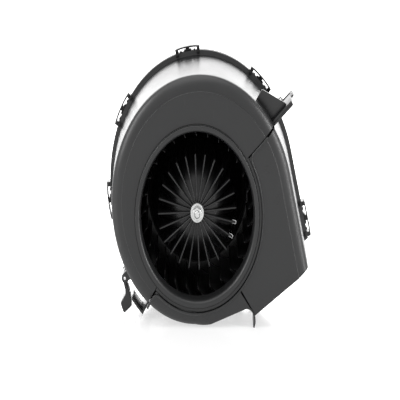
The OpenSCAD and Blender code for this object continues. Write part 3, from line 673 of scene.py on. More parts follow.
def shell_grid(scroll, i, j, ring, columns=7):
    """Face, shoulder, wall and flange as one closed skin over stations i to j.

    The flat face runs from a circle of radius ring to the face's edge on straight lines,
    and the section is carried on from there: point = p + offset * n, y = depth.
    """
    s = scroll.s
    sec = scroll.section(i, j)
    p, n = scroll.p[i:j, None], scroll.n[i:j, None]
    flat = p + sec[..., :1] * n
    wall = at_depth(flat, sec[..., 1])
    edge = flat[:, 0]
    inner = flat[:, -1]
    start = unit(edge) * ring
    u = np.linspace(0, 1, columns)[:-1, None, None]
    top = start[None] + (edge - start)[None] * u
    low = start[None] + (inner - start)[None] * u[::-1]
    front = at_depth(top, s.face_set).transpose(1, 0, 2)
    back = at_depth(low, s.face_set + s.wall).transpose(1, 0, 2)
    return np.concatenate([front, wall, back], 1)


def swept(path, across, up, profile):
    """A closed [across, up] profile carried along a path of points."""
    profile = np.asarray(profile, float)
    return (path[:, None] + profile[None, :, :1] * across[:, None]
            + profile[None, :, 1:] * up[:, None])


def across_path(path, up):
    """Unit directions across a path that lies on a surface with normal up."""
    along = unit(np.gradient(path, axis=0))
    return unit(np.cross(along, up))


def casing_sizes():
    """The casing's sizes in this scene."""
    return bpy.context.scene.blower_casing


OPERATORS = []


def register_operator(cls):
    """Keeps the operators in the order in which the build runs them."""
    OPERATORS.append(cls)
    return cls


class Build:
    """Options that every operator shares."""

    bl_options = {"REGISTER", "UNDO"}


@register_operator
class BLOWER_OT_finishes(Build, bpy.types.Operator):
    """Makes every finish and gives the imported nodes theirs"""

    bl_idname = "blower.finishes"
    bl_label = "Finishes"

    def execute(self, context):
        FINISHES.update(make_finishes(context.scene.blower_finish))
        slots = {p["node"]: p["material_slot"] for p in frame["record"]["subparts"]}
        for name, node in frame["nodes"].items():
            node.data.materials.clear()
            node.data.materials.append(FINISHES[slots[name]])
        return {"FINISHED"}


@register_operator
class BLOWER_OT_inlet_casing(Build, bpy.types.Operator):
    """Upper left shell with the inlet's bell mouth"""

    bl_idname = "blower.inlet_casing"
    bl_label = "Inlet casing"

    def execute(self, context):
        s = casing_sizes()
        scroll = Scroll(s)
        shape = Shape()
        a = scroll.angles()
        part = np.where((a > SEAM_HIGH + 0.1) & (a < SEAM_LOW - 0.1))[0]
        part = part[part > scroll.n_foot]
        root = s.inlet_radius + s.bell_width - 0.4 * MM
        rim = s.seam_radius - SEAM_GAP
        shape.grid(shell_grid(scroll, part[0], part[-1] + 1, root))
        shape.turned(bell_profile(s), steps=180)
        back = s.face_set + s.wall
        skirt = closed_fillet([(root, s.face_set), (rim, s.face_set), (rim, back), (root, back)],
                              [0, 0.4 * MM, 0.2 * MM, 0], 3)
        shape.turned(skirt, steps=140, start=SEAM_LOW, sweep=360 - SEAM_LOW + SEAM_HIGH)
        seam_lug(shape, 1)
        gusset(shape)
        latch_ears(shape)
        shape.make("inlet_shell", "casing", "casing_plastic",
                   ["inlet_bell", "inlet_casing", "inlet_wall"])
        return {"FINISHED"}


MOUTH_SHARE = 0.62  # share of the bell's width that its curved mouth takes up
MOUTH_DEPTH = 0.007
THROAT_END = 0.013
THROAT_WALL = 0.0022


def bell_profile(s):
    """Bell mouth: a quarter ellipse from the rim into the throat,
    x = r + mouth (1 - sin a), y = depth (1 - cos a), with a rounded rim outside."""
    r, mouth = s.inlet_radius, s.bell_width * MOUTH_SHARE
    a = np.radians(np.linspace(0, 90, 14))
    inside = np.stack([r + mouth * (1 - np.sin(a)), MOUTH_DEPTH * (1 - np.cos(a))], -1)
    edge = r + s.bell_width
    foot = edge + 0.8 * MM
    rim = fillet([(r + mouth, 0), (edge, 0), (edge, s.face_set), (foot, s.face_set)],
                 [1.1 * MM, 0.5 * MM], 5)
    back = s.face_set + s.wall
    outside = r + THROAT_WALL
    under = fillet([(foot, back), (r + 5 * MM, back), (outside, 8.5 * MM),
                    (outside, THROAT_END), (r, THROAT_END), (r, 8 * MM)],
                   [1 * MM, 1 * MM, 0.5 * MM, 0.5 * MM], 3)
    return np.vstack([inside[::-1], rim[1:], under[:-1]])


LUG_START = 0.113
LUG_END = 0.1439
LUG_THICK = 0.0022
LUG_DEPTHS = (0.020, 0.072)
WEB_TURN = 14
WEB_FOOT = 0.1249
WEB_SHORT = 0.006  # how far the web stays behind the lug's tip
WEB_SET = 0.004  # how far it stays behind the lug's front edge


def seam_lug(shape, side):
    """One plate of the upper seam's lug pair."""
    middle = side * (LUG_THICK / 2 + 0.05 * MM)
    low, high = middle - LUG_THICK / 2, middle + LUG_THICK / 2
    outline = closed_fillet([(LUG_START, low), (LUG_END, low), (LUG_END, high),
                             (LUG_START, high)], [0, 0.5 * MM, 0.5 * MM, 0], 3)
    shape.prism(outline, *LUG_DEPTHS, edge=0.4 * MM, turn=SEAM_HIGH)


def gusset(shape):
    """Triangular web between the upper lug and the wall."""
    corners = [LUG_START * forward(SEAM_HIGH), (LUG_END - WEB_SHORT) * forward(SEAM_HIGH + 0.8),
               WEB_FOOT * forward(SEAM_HIGH + WEB_TURN), LUG_START * forward(SEAM_HIGH + WEB_TURN)]
    front = LUG_DEPTHS[0] + WEB_SET
    shape.prism(closed_fillet(corners, [0, 1.5 * MM, 1.5 * MM, 0], 4), front, front + LUG_THICK,
                0.4 * MM)


PIN_AT = np.array([-0.08395, -0.056075])
PIN_R = 0.0015
LATCH_DEPTH = 0.036
LEVER_WIDTH = 0.016
EAR_THICK = 0.003


def latch_ears(shape):
    """Two ears round the latch's pin: the outline is a round head with straight cheeks."""
    away = unit(PIN_AT)
    side = np.array([-away[1], away[0]])
    a = np.radians(np.linspace(-90, 90, 13))
    head = PIN_AT + 3.8 * MM * (np.cos(a)[:, None] * away + np.sin(a)[:, None] * side)
    root = [PIN_AT - 8 * MM * away + 4.6 * MM * side, PIN_AT - 8 * MM * away - 4.6 * MM * side]
    for sign in (-1, 1):
        middle = LATCH_DEPTH + sign * (LEVER_WIDTH / 2 + EAR_THICK / 2 + 0.4 * MM)
        front, back = middle - EAR_THICK / 2, middle + EAR_THICK / 2
        shape.prism(np.vstack([head, root]), front, back, 0.5 * MM)


RIDGE_TURN_BACK = 9  # degrees from each seam at which the ridge leaves the inlet's circle
RIDGE_LOW_END = 0.0925
RIDGE_HIGH_END = 0.1045
MOULD_MARKS = ((0.0837, 0.0355), (0.0949, 0.0114))
MARK_RADIUS = 0.0037
KEEPER_RADIUS = 0.1026
KEEPER_WALL = 0.0022
KEEPER_START = 224  # degrees, free end of the keeper's leg
KEEPER_END = 232  # degrees, where its foot stands
KEEPER_SIDE = 0.004  # how far the keeper reaches past the lever on each side


@register_operator
class BLOWER_OT_outlet_casing(Build, bpy.types.Operator):
    """Lower and right shell with the outlet, the tongue and its curled foot"""

    bl_idname = "blower.outlet_casing"
    bl_label = "Outlet casing"

    def execute(self, context):
        s = casing_sizes()
        scroll = Scroll(s)
        shape = Shape()
        a = scroll.angles()
        ring = s.seam_radius + SEAM_GAP
        last = len(a)
        index = np.arange(last)
        low = np.where((a > SEAM_LOW) & (index < last // 2))[0][-1] + 1
        high = np.where((a < SEAM_HIGH) & (index > last // 2))[0][0]
        shape.grid(shell_grid(scroll, scroll.tongue_at, low, ring))
        shape.grid(shell_grid(scroll, high, last, ring))
        self.free_foot(shape, scroll)
        self.outlet_face(shape, scroll, ring)
        self.ridge(shape, scroll)
        seam_lug(shape, -1)
        self.keeper(shape)
        mark = washer(MARK_RADIUS - 0.8 * MM, MARK_RADIUS, s.face_set - 0.12 * MM,
                      s.face_set + 0.5 * MM, 0.1 * MM)
        for place in MOULD_MARKS:
            shape.turned(mark, place, 40)
        shape.make("outlet_shell", "casing", "casing_plastic",
                   ["outlet_casing", "outlet_wall"])
        return {"FINISHED"}

    def free_foot(self, shape, scroll):
        """The curl below the tongue: a thin wall from the face to the flange."""
        s = scroll.s
        k = scroll.tongue_at + 1
        p, n = scroll.p[:k], scroll.n[:k]
        rf = s.flange_depth + s.flange_thick
        profile = closed_fillet([(0, s.face_set), (0, rf), (-s.foot_wall, rf),
                                 (-s.foot_wall, s.face_set)], [0.5 * MM] * 4, 3)
        flat = p[:, None] + profile[None, :, :1] * n[:, None]
        shape.grid(at_depth(flat, profile[:, 1]))

    def outlet_face(self, shape, scroll, ring):
        """The flat face between the tongue and the straight wall, out to the outlet's edge."""
        s = scroll.s
        edge = scroll.p[-1] - s.shoulder * scroll.n[-1]
        t = np.linspace(0, 1, 40)[:, None]
        rim = scroll.tongue + (edge - scroll.tongue) * t
        start = unit(rim) * ring
        start[0] = unit(scroll.p[scroll.tongue_at]) * ring
        back = s.face_set + s.wall
        r = 0.5 * MM
        columns = [(0.0, s.face_set), (0.5, s.face_set), (0.98, s.face_set),
                   (0.994, s.face_set + 0.1 * r), (1.0, s.face_set + r), (1.0, back - r),
                   (0.994, back), (0.5, back), (0.0, back)]
        flat = np.stack([start + (rim - start) * u for u, _ in columns], 1)
        shape.grid(at_depth(flat, [y for _, y in columns]))

    def ridge(self, shape, scroll):
        """Rounded bead on the parting line: a half round carried on a filleted path."""
        s = scroll.s
        r = s.seam_radius + SEAM_GAP + s.ridge_width / 2
        first, last = SEAM_LOW + RIDGE_TURN_BACK, 360 + SEAM_HIGH - RIDGE_TURN_BACK
        arc = r * forward(np.linspace(first, last, 200))
        low_out = RIDGE_LOW_END * forward(SEAM_LOW + 0.9)
        high_out = RIDGE_HIGH_END * forward(SEAM_HIGH - 0.7)
        low_turn = (r + 0.5 * MM) * forward(SEAM_LOW + 1.2)
        high_turn = (r + 0.5 * MM) * forward(SEAM_HIGH - 1.2)
        bend = [6.5 * MM]
        start = fillet([low_out, low_turn, arc[0]], bend, 12)[:-1]
        end = fillet([arc[-1], high_turn, high_out], bend, 12)[1:]
        line = np.vstack([start, arc, end])
        path = at_depth(line, s.face_set)
        up = np.tile((0.0, -1.0, 0.0), (len(path), 1))
        a = np.radians(np.linspace(0, 180, 11))
        half = np.stack([s.ridge_width / 2 * np.cos(a), s.ridge_height * np.sin(a) ** 0.7], -1)
        base = [(-s.ridge_width / 2, -0.6 * MM), (s.ridge_width / 2, -0.6 * MM)]
        shape.grid(swept(path, across_path(path, up), up, np.vstack([half, base])))

    def keeper(self, shape):
        """L-shaped keeper of the latch: a foot on the seam and a leg along the wall."""
        reach = LEVER_WIDTH / 2 + KEEPER_SIDE
        root = KEEPER_RADIUS - 12 * MM
        out = np.linspace(KEEPER_START, KEEPER_END + 1.2, 12)
        inner = np.linspace(KEEPER_END, KEEPER_START, 10)
        leg = np.vstack([(KEEPER_RADIUS + KEEPER_WALL) * forward(out),
                         [root * forward(KEEPER_END + 1.6), root * forward(KEEPER_END + 0.2)],
                         KEEPER_RADIUS * forward(inner)])
        shape.prism(leg, LATCH_DEPTH - reach, LATCH_DEPTH + reach, 0.45 * MM)


MOUNT_BOSSES = (60, 180, 300)
MOUNT_CIRCLE = 0.075
SCREW_BOSSES = (90, 210, 330)
SCREW_CIRCLE = 0.042
RIBS = (20, 60, 110, 160, 200, 250)


@register_operator
class BLOWER_OT_rear_casing(Build, bpy.types.Operator):
    """Rear plate with its flange, motor cup, bosses and ribs"""

    bl_idname = "blower.rear_casing"
    bl_label = "Rear casing"

    def execute(self, context):
        s = casing_sizes()
        scroll = Scroll(s)
        shape = Shape()
        y0 = s.flange_depth + s.flange_thick
        y1 = y0 + s.flange_thick
        outer = scroll.flange_outline()
        outer[:, 1] = np.maximum(outer[:, 1], -s.axis_height)
        outer[-1] = scroll.p[-1] + s.flange_width * scroll.n[-1]
        away = unit(outer)
        cup = self.cup_profile(y0, y1)
        hole = away * (cup[0, 0] + 0.6 * MM)
        r = 0.5 * MM
        columns = [(0.0, y0, 0), (0.5, y0, 0), (1.0, y0, -r), (1.0, y0 + 0.3 * r, -0.3 * r),
                   (1.0, y0 + r, 0), (1.0, y1 - r, 0), (1.0, y1 - 0.3 * r, -0.3 * r),
                   (1.0, y1, -r), (0.5, y1, 0), (0.0, y1, 0)]
        flat = np.stack([hole + (outer + g * away - hole) * u for u, _, g in columns], 1)
        shape.grid(at_depth(flat, [y for _, y, _ in columns]), wrap_u=True)
        shape.turned(cup, steps=144)
        self.fittings(shape, y1)
        shape.make("rear_shell", "casing", "casing_plastic", ["rear_casing"])
        return {"FINISHED"}

    def cup_profile(self, y0, y1):
        """Motor cup: a closed cap with a rounded rim and a stepped bottom."""
        top = CUP_BOX[1].y
        r_in, r_out, t = 36.5 * MM, 38.7 * MM, 2.2 * MM
        line = [(0, top - t), (r_in - 2 * MM, top - t), (r_in, top - t - 2 * MM), (r_in, y0),
                (r_out + 1.6 * MM, y0), (r_out + 1.6 * MM, y1), (r_out, y1 + 1.6 * MM),
                (r_out, top - 3 * MM), (r_out - 3 * MM, top), (24 * MM, top),
                (22.5 * MM, top - 0.8 * MM), (0, top - 0.8 * MM)]
        radii = [1.5, 1.5, 0.3, 0.3, 1.2, 1.2, 2.5, 2.5, 0.5, 0.5]
        return fillet(line, [r * MM for r in radii], 4)[::-1]

    def fittings(self, shape, y1):
        """Mounting bosses with blind holes, screw bosses' ends and stiffening ribs."""
        for angle in MOUNT_BOSSES:
            top = y1 + 12 * MM
            hole = [(0, y1 + 1 * MM), (2.1 * MM, y1 + 1 * MM), (2.1 * MM, top), (4.7 * MM, top),
                    (4.9 * MM, y1), (0, y1)]
            shape.turned(fillet(hole, [0.2 * MM, 0.4 * MM, 0.5 * MM, 0.2 * MM], 3),
                         centre=MOUNT_CIRCLE * forward(angle), steps=40)
        for angle in SCREW_BOSSES:
            shape.turned(bar(5 * MM, y1 - 1 * MM, y1 + 10.4 * MM, 0.5 * MM),
                         centre=SCREW_CIRCLE * forward(angle), steps=40)
        for angle in RIBS:
            foot = np.array([(38.2, 0), (54.9, 0), (54.9, 1.5), (38.2, 9)]) * MM
            across = forward(angle + 90) * 1.1 * MM
            sides = [forward(angle) * foot[:, :1] + g * across for g in (-1, 1)]
            shape.loft(at_depth(np.array(sides), y1 - 0.2 * MM + foot[:, 1]))


CLIP_TURNS = (44, 78, 121, 172, 220)  # degrees round the scroll from its lowest point
CLIP_HALF = 0.0145
STRAIGHT_CLIP_SET = 0.003  # how far the last clip stays behind the outlet's corner


@register_operator
class BLOWER_OT_flange_clips(Build, bpy.types.Operator):
    """Six snap clips over the rear flange"""

    bl_idname = "blower.flange_clips"
    bl_label = "Flange clips"

    def execute(self, context):
        s = casing_sizes()
        scroll = Scroll(s)
        shape = Shape()
        for turn in CLIP_TURNS:
            i = int(np.searchsorted(np.cumsum(TURNS), turn, side="right"))
            centre, radius = scroll.centres[i], scroll.radii[i]
            heading = 180 - turn

            def place(x, offset, c=centre, r=radius, h=heading):
                return c + (r + offset)[..., None] * outward(h - np.degrees(x / r))

            self.clip(shape, s, place)
        back = STRAIGHT_CLIP_SET + CLIP_HALF
        start = scroll.corner - back * forward(scroll.end_heading)

        def straight(x, offset):
            return (start + x[..., None] * forward(scroll.end_heading)
                    + offset[..., None] * outward(scroll.end_heading))

        self.clip(shape, s, straight)
        shape.make("flange_clip_set", "casing", "clip_plastic", ["flange_clips"])
        return {"FINISHED"}

    def clip(self, shape, s, place):
        """One clip: an arched strap, two C-shaped end legs, a middle catch on a tongue."""
        half = CLIP_HALF
        fw = s.flange_width
        y0, y1 = s.flange_depth - 1.6 * MM, s.flange_depth + 2 * s.flange_thick + 1.6 * MM

        def slab(x0, x1, o0, o1, d0, d1, bow=0.0, n=13, edge=0.35 * MM):
            """A block in the clip's own directions, bowed outwards at its middle."""
            x = np.linspace(x0, x1, n)
            lift = bow * (1 - (x / half) ** 4)
            ring = closed_fillet([(o0, d0), (o1, d0), (o1, d1), (o0, d1)], [edge] * 4, 3)
            offset = ring[None, :, 0] + lift[:, None]
            flat = place(np.broadcast_to(x[:, None], offset.shape), offset)
            shape.grid(at_depth(flat, ring[:, 1]))

        slab(-half, half, fw + 2.6 * MM, fw + 4.1 * MM, y0 + 0.6 * MM, y1 - 0.6 * MM, 0.4 * MM, 25)
        for a, b in ((-half, -half + 3.6 * MM), (half - 3.6 * MM, half)):
            slab(a, b, fw + 0.05 * MM, fw + 3.4 * MM, y0, y1)
            slab(a, b, 1.4 * MM, fw + 0.6 * MM, y0, s.flange_depth - 0.02 * MM)
            slab(a, b, 1.4 * MM, fw + 0.6 * MM, y1 - 1.6 * MM, y1)
        slab(-4.5 * MM, 4.5 * MM, fw + 0.05 * MM, fw + 1.6 * MM, y0 + 1.9 * MM, y1 - 1.9 * MM)
        slab(-2.2 * MM, 2.2 * MM, fw + 1.2 * MM, fw + 3.4 * MM, y0 + 2.4 * MM, y1 - 2.4 * MM)
        for x in (-8.2 * MM, 8.2 * MM):
            slab(x - 1.1 * MM, x + 1.1 * MM, fw - 0.2 * MM, fw + 1.1 * MM, y0 + 1.6 * MM,
                 y1 - 1.6 * MM, n=5)


STRIP_DEPTHS = (0.048, 0.066)
STRIP_THICK = 0.0009
STRIP_ARM = 0.0134
STRIP_BACK = 0.013  # how far the strip's curls lie behind the lugs' tips
CURL = 0.0019


@register_operator
class BLOWER_OT_seam_fittings(Build, bpy.types.Operator):
    """Bent steel clip on the upper lugs, and the latch with its pin"""

    bl_idname = "blower.seam_fittings"
    bl_label = "Seam clip and latch"

    def execute(self, context):
        self.steel_clip()
        self.latch()
        pin = Shape()
        reach = LEVER_WIDTH / 2 + EAR_THICK + 0.9 * MM
        pin.turned(bar(PIN_R, LATCH_DEPTH - reach, LATCH_DEPTH + reach, 0.5 * MM), PIN_AT, 32)
        pin.make("latch_pin_steel", "casing", "spring_steel", ["latch_pin"])
        return {"FINISHED"}

    def steel_clip(self):
        """One strip: two curled ends, two arms and a round back, thickened both ways.

        The centre line lies across the seam; the strip is the line moved by half a
        thickness to each side, and its two long edges are narrowed by a ring each.
        """
        arm = LUG_THICK + 0.05 * MM + STRIP_THICK / 2
        a = np.radians(np.linspace(-200, 90, 22))
        curl = np.stack([CURL * np.cos(a), arm + CURL - CURL * np.sin(a)], -1)
        back = np.radians(np.linspace(90, -90, 17))
        nose = np.stack([STRIP_ARM + arm * np.cos(back), arm * np.sin(back)], -1)
        line = np.vstack([curl[:-1], nose, curl[::-1][1:] * (1, -1)])
        side = unit(np.gradient(line, axis=0))[:, ::-1] * (-1, 1)
        c, s = forward(SEAM_HIGH)
        turn = np.array([[c, s], [-s, c]])
        from_axis = (LUG_END - STRIP_BACK, 0)
        edges = [(line + g * side * STRIP_THICK / 2 + from_axis) @ turn for g in (1, -1)]
        middle = (edges[0] + edges[1]) / 2
        half = edges[0] - middle
        (y0, y1), r = STRIP_DEPTHS, 0.15 * MM
        rings = [at_depth(np.vstack([middle + half * k, (middle - half * k)[::-1]]), y)
                 for y, k in ((y0, 0.75), (y0 + r, 1), (y1 - r, 1), (y1, 0.75))]
        shape = Shape()
        shape.grid(np.array(rings), caps=False)
        n = len(line)
        for ring in (0, 3):
            first, last = 2 * n * ring, 2 * n * (ring + 1) - 1
            shape.faces += [[first + k, first + k + 1, last - 1 - k, last - k]
                            for k in range(n - 1)]
        shape.make("seam_clip_steel", "casing", "spring_steel", ["seam_clip"])

    def latch(self):
        """The lever: an eye round the pin, a link and a finger tab, cut as one flat outline."""
        y0 = LATCH_DEPTH - LEVER_WIDTH / 2
        y1 = y0 + LEVER_WIDTH
        eye = PIN_R + 2 * MM
        bore = PIN_R + 0.06 * MM
        shape = Shape()
        ring = closed_fillet([(bore, y0), (eye, y0), (eye, y1), (bore, y1)],
                             [0.3 * MM, 0.6 * MM, 0.6 * MM, 0.3 * MM], 3)
        shape.turned(ring, PIN_AT, 48)
        link = [(-2.6, -2.2), (1.0, -3.2), (5.6, -12), (7.9, -18.1), (8.8, -22.3), (-0.5, -28.3),
                (-4.8, -20.5), (1.4, -12.8)]
        radii = [0.3, 0.3, 2, 1.5, 1.6, 1.8, 1.6, 3]
        outline = closed_fillet(PIN_AT + np.array(link) * MM, [r * MM for r in radii], 5)
        shape.prism(outline, y0, y1, 0.6 * MM, 3)
        shape.make("latch_handle", "latch", "clip_plastic", ["latch_lever"])


BOSS_FRONT = 0.008
BOSS_BACK = 0.026
BORE_RADIUS = 0.004
DOME_FRONT = 0.012
RIM_DEPTH = 0.005
FIN_TURN = 3  # degrees of the first fin
CLIPPED_FINS = (22, 23)


@register_operator
class BLOWER_OT_wheel(Build, bpy.types.Operator):
    """Squirrel-cage wheel: dome, boss, fins, blades and front ring, with balance clips"""

    bl_idname = "blower.wheel"
    bl_label = "Wheel"

    def execute(self, context):
        w = context.scene.blower_wheel
        inner = w.radius - w.blade_radial
        shape = Shape()
        shape.turned(self.hub(w, inner), steps=144)
        rim = washer(w.radius - 2.2 * MM, w.radius, w.front, w.front + RIM_DEPTH, 0.7 * MM)
        shape.turned(rim, steps=180)
        self.blades(shape, w, inner)
        self.fins(shape, w, inner)
        shape.make("wheel", "rotor", "wheel_plastic",
                   ["impeller", "hub_fins", "fan_blades", "front_rim"])
        self.balance_clips(w)
        return {"FINISHED"}

    def dome(self, w, inner, r):
        """Depth of the dome's front at radius r: an ellipse and a power curve, mixed."""
        u = np.clip((r - 10 * MM) / (inner - 13 * MM), 0, 1)
        depth = w.back - DOME_FRONT
        return DOME_FRONT + depth * (1 - 0.35 * np.sqrt(1 - u * u) - 0.65 * (1 - u**2.2))

    def hub(self, w, inner):
        """Boss, dome and rear plate in one profile."""
        r = np.linspace(w.boss_radius + 1.2 * MM, inner - 3 * MM, 40)
        front = np.stack([r, self.dome(w, inner, r)], -1)
        back = front[::-1] + (0, 2 * MM)
        boss = fillet([(BORE_RADIUS, BOSS_BACK), (BORE_RADIUS, BOSS_FRONT + 0.6 * MM),
                       (BORE_RADIUS + 0.6 * MM, BOSS_FRONT), (w.boss_radius, BOSS_FRONT),
                       (w.boss_radius, front[0, 1])],
                      [0.1 * MM, 0.1 * MM, 0.8 * MM], 4)
        plate = fillet([front[-1], (inner, w.back - 2 * MM), (w.radius, w.back - 2 * MM),
                        (w.radius, w.back), (inner - 5 * MM, w.back), back[0]],
                       [1 * MM, 0.5 * MM, 0.5 * MM, 0.8 * MM], 3)
        under = back[back[:, 0] < inner - 5 * MM]
        end = [(w.boss_radius, under[-1, 1] + 1 * MM), (w.boss_radius, BOSS_BACK)]
        return np.vstack([boss, front[:-1], plate[:-1], under, end])

    def blades(self, shape, w, inner):
        """Forward-curved blades: r = inner + depth * t, angle = lean * t ** 1.6, with a wall
        that thins to round edges, carried from the front ring to the rear plate."""
        t = np.linspace(0, 1, 9)
        r = inner + (w.blade_radial - 0.8 * MM) * t
        thick = w.blade_thick / 2 * np.sin(np.pi * np.clip(t * 0.96 + 0.02, 0, 1)) ** 0.35
        lean = 10.5 * t**1.6 + np.degrees(w.blade_thick / 2 / r)
        side = np.degrees(thick / r)
        outline = np.vstack([r[:, None] * forward(lean - side),
                             (r[:, None] * forward(lean + side))[::-1]])
        for k in range(w.blades):
            shape.prism(outline, w.front, w.back - 1 * MM, 0.4 * MM, turn=360 * k / w.blades)

    def fins(self, shape, w, inner):
        """Radial fins on the dome: the front edge falls evenly from the boss to the fin's
        end, the rear edge lies inside the dome's wall, and the front edge is rounded."""
        r = np.linspace(w.boss_radius - 0.3 * MM, w.fin_reach, 22)
        r = np.append(r, w.fin_reach + 0.15 * MM)
        fall = (r - w.boss_radius) / (w.fin_reach - w.boss_radius)
        front = w.front - 6 * MM + 3.5 * MM * fall
        back = self.dome(w, inner, r) + 1 * MM
        thin = np.where(r > w.fin_reach, 0.6, 1.0) * w.fin_thick / 2
        a = np.radians(np.linspace(0, 180, 9))
        head = np.stack([np.cos(a), 1 - np.sin(a)], -1)
        side = np.append(head[:, 0], [-1.0, 1.0])[None] * thin[:, None]
        depth = np.concatenate([front[:, None] + head[None, :, 1] * w.fin_thick / 2,
                                back[:, None], back[:, None]], 1)
        for angle in FIN_TURN + 360 * np.arange(w.fins) / w.fins:
            flat = r[:, None, None] * forward(angle) + side[..., None] * outward(angle)
            shape.grid(at_depth(flat, depth))

    def balance_clips(self, w):
        """Two U-shaped steel clips on the ends of neighbouring fins."""
        gap, t = 0.05 * MM, 0.6 * MM
        r, half = w.fin_reach + gap, w.fin_thick / 2 + gap
        start = w.fin_reach - 4 * MM
        corners = [(start, half), (r, half), (r, -half), (start, -half), (start, -half - t),
                   (r + t, -half - t), (r + t, half + t), (start, half + t)]
        radii = [0.1, 0.2, 0.2, 0.1, 0.2, 0.5, 0.5, 0.2]
        outline = closed_fillet(corners, [x * MM for x in radii], 3)
        clips = Shape()
        for k in CLIPPED_FINS:
            clips.prism(outline, w.front - 0.5 * MM, w.front + 8.5 * MM, 0.12 * MM,
                        turn=FIN_TURN + 360 * k / w.fins)
        clips.make("balance_clips_steel", "rotor", "spring_steel", ["balance_clips"])


@register_operator
class BLOWER_OT_nut(Build, bpy.types.Operator):
    """Nut, washer and threaded shaft end in the middle of the wheel"""

    bl_idname = "blower.nut"
    bl_label = "Nut and shaft"

    def execute(self, context):
        back = NUT_BOX[1].y
        self.nut(NUT_BOX[0].y)
        plate = Shape()
        plate.turned(washer(3.1 * MM, 7.7 * MM, back, BOSS_FRONT, 0.25 * MM), steps=72)
        plate.make("hub_washer_zinc", "rotor", "zinc_steel", ["hub_washer"])
        self.shaft()
        return {"FINISHED"}

    def nut(self, front):
        """Hexagon whose corners are cut by a cone: the radius is the smaller of the
        hexagon's flats / cos and the cone's, at every angle and depth."""
        a = np.radians(np.arange(0, 360, 3.0))
        fold = (a + math.pi / 6) % (math.pi / 3) - math.pi / 6
        hexagon = 5 * MM / np.cos(fold)
        rows = [(0.0, 4.55), (0.25, 5.0), (0.55, 5.5), (0.9, 6.1), (4.1, 6.1), (4.45, 5.5),
                (4.75, 5.0), (5.0, 4.55)]
        bore = [(5.0, 3.5), (4.6, 3.02), (0.4, 3.02), (0.0, 3.5)]
        around = np.stack([np.cos(a), np.sin(a)], -1)
        rings = [at_depth(np.minimum(hexagon, c * MM)[:, None] * around, front + y * MM)
                 for y, c in rows + bore]
        shape = Shape()
        shape.grid(np.array(rings).transpose(1, 0, 2), wrap_u=True)
        shape.make("shaft_nut_zinc", "rotor", "zinc_steel", ["shaft_nut"], sharp=24)

    def shaft(self):
        """Shaft with a thread at its front: the radius falls by a saw-tooth along y."""
        y = np.arange(1.6, 7.9, 0.125)
        tooth = np.abs((y % 1.0) - 0.5) * 2
        thread = np.stack([3.0 - 0.45 * (1 - tooth), y], -1) * MM
        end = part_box("motor_shaft")[1].y
        line = np.vstack([[(0, 1 * MM), (2.2 * MM, 1 * MM)], thread,
                          [(3 * MM, BOSS_FRONT), (BORE_RADIUS, BOSS_FRONT + 0.2 * MM),
                           (BORE_RADIUS, end - 0.5 * MM), (3.5 * MM, end), (0, end)]])
        shape = Shape()
        shape.turned(line, steps=48)
        shape.make("shaft_steel", "rotor", "zinc_steel", ["motor_shaft"])


@register_operator
class BLOWER_OT_connector(Build, bpy.types.Operator):
    """Two-pole socket at the rear of the motor's cup"""

    bl_idname = "blower.connector"
    bl_label = "Connector"

    def execute(self, context):
        low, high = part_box("connector_housing")
        shape = Shape()
        y0, y1 = low.y, high.y
        wall = 1.4 * MM
        floor = y1 - 11.8 * MM

        def ring(inset, y, r):
            c = [(low.x + inset, low.z + inset), (high.x - inset, low.z + inset),
                 (high.x - inset, high.z - inset), (low.x + inset, high.z - inset)]
            return at_depth(closed_fillet(c, [r] * 4, 5), y)

        rings = [ring(0.3 * MM, y0, 1 * MM), ring(0, y0 + 0.3 * MM, 1.2 * MM),
                 ring(0, y1 - 0.4 * MM, 1.2 * MM), ring(0.4 * MM, y1, 1 * MM),
                 ring(wall - 0.3 * MM, y1, 0.6 * MM), ring(wall, y1 - 0.3 * MM, 0.5 * MM),
                 ring(wall, floor, 0.5 * MM)]
        shape.loft(rings)
        for x in (-4 * MM, 4 * MM):
            shape.block((x - 1.2 * MM, y1 - 9 * MM, high.z - 0.2 * MM),
                        (x + 1.2 * MM, y1 - 1 * MM, high.z - 0.001 * MM), 0.05 * MM)
        shape.make("plug_socket", "casing", "connector_plastic", ["connector_housing"])
        return {"FINISHED"}


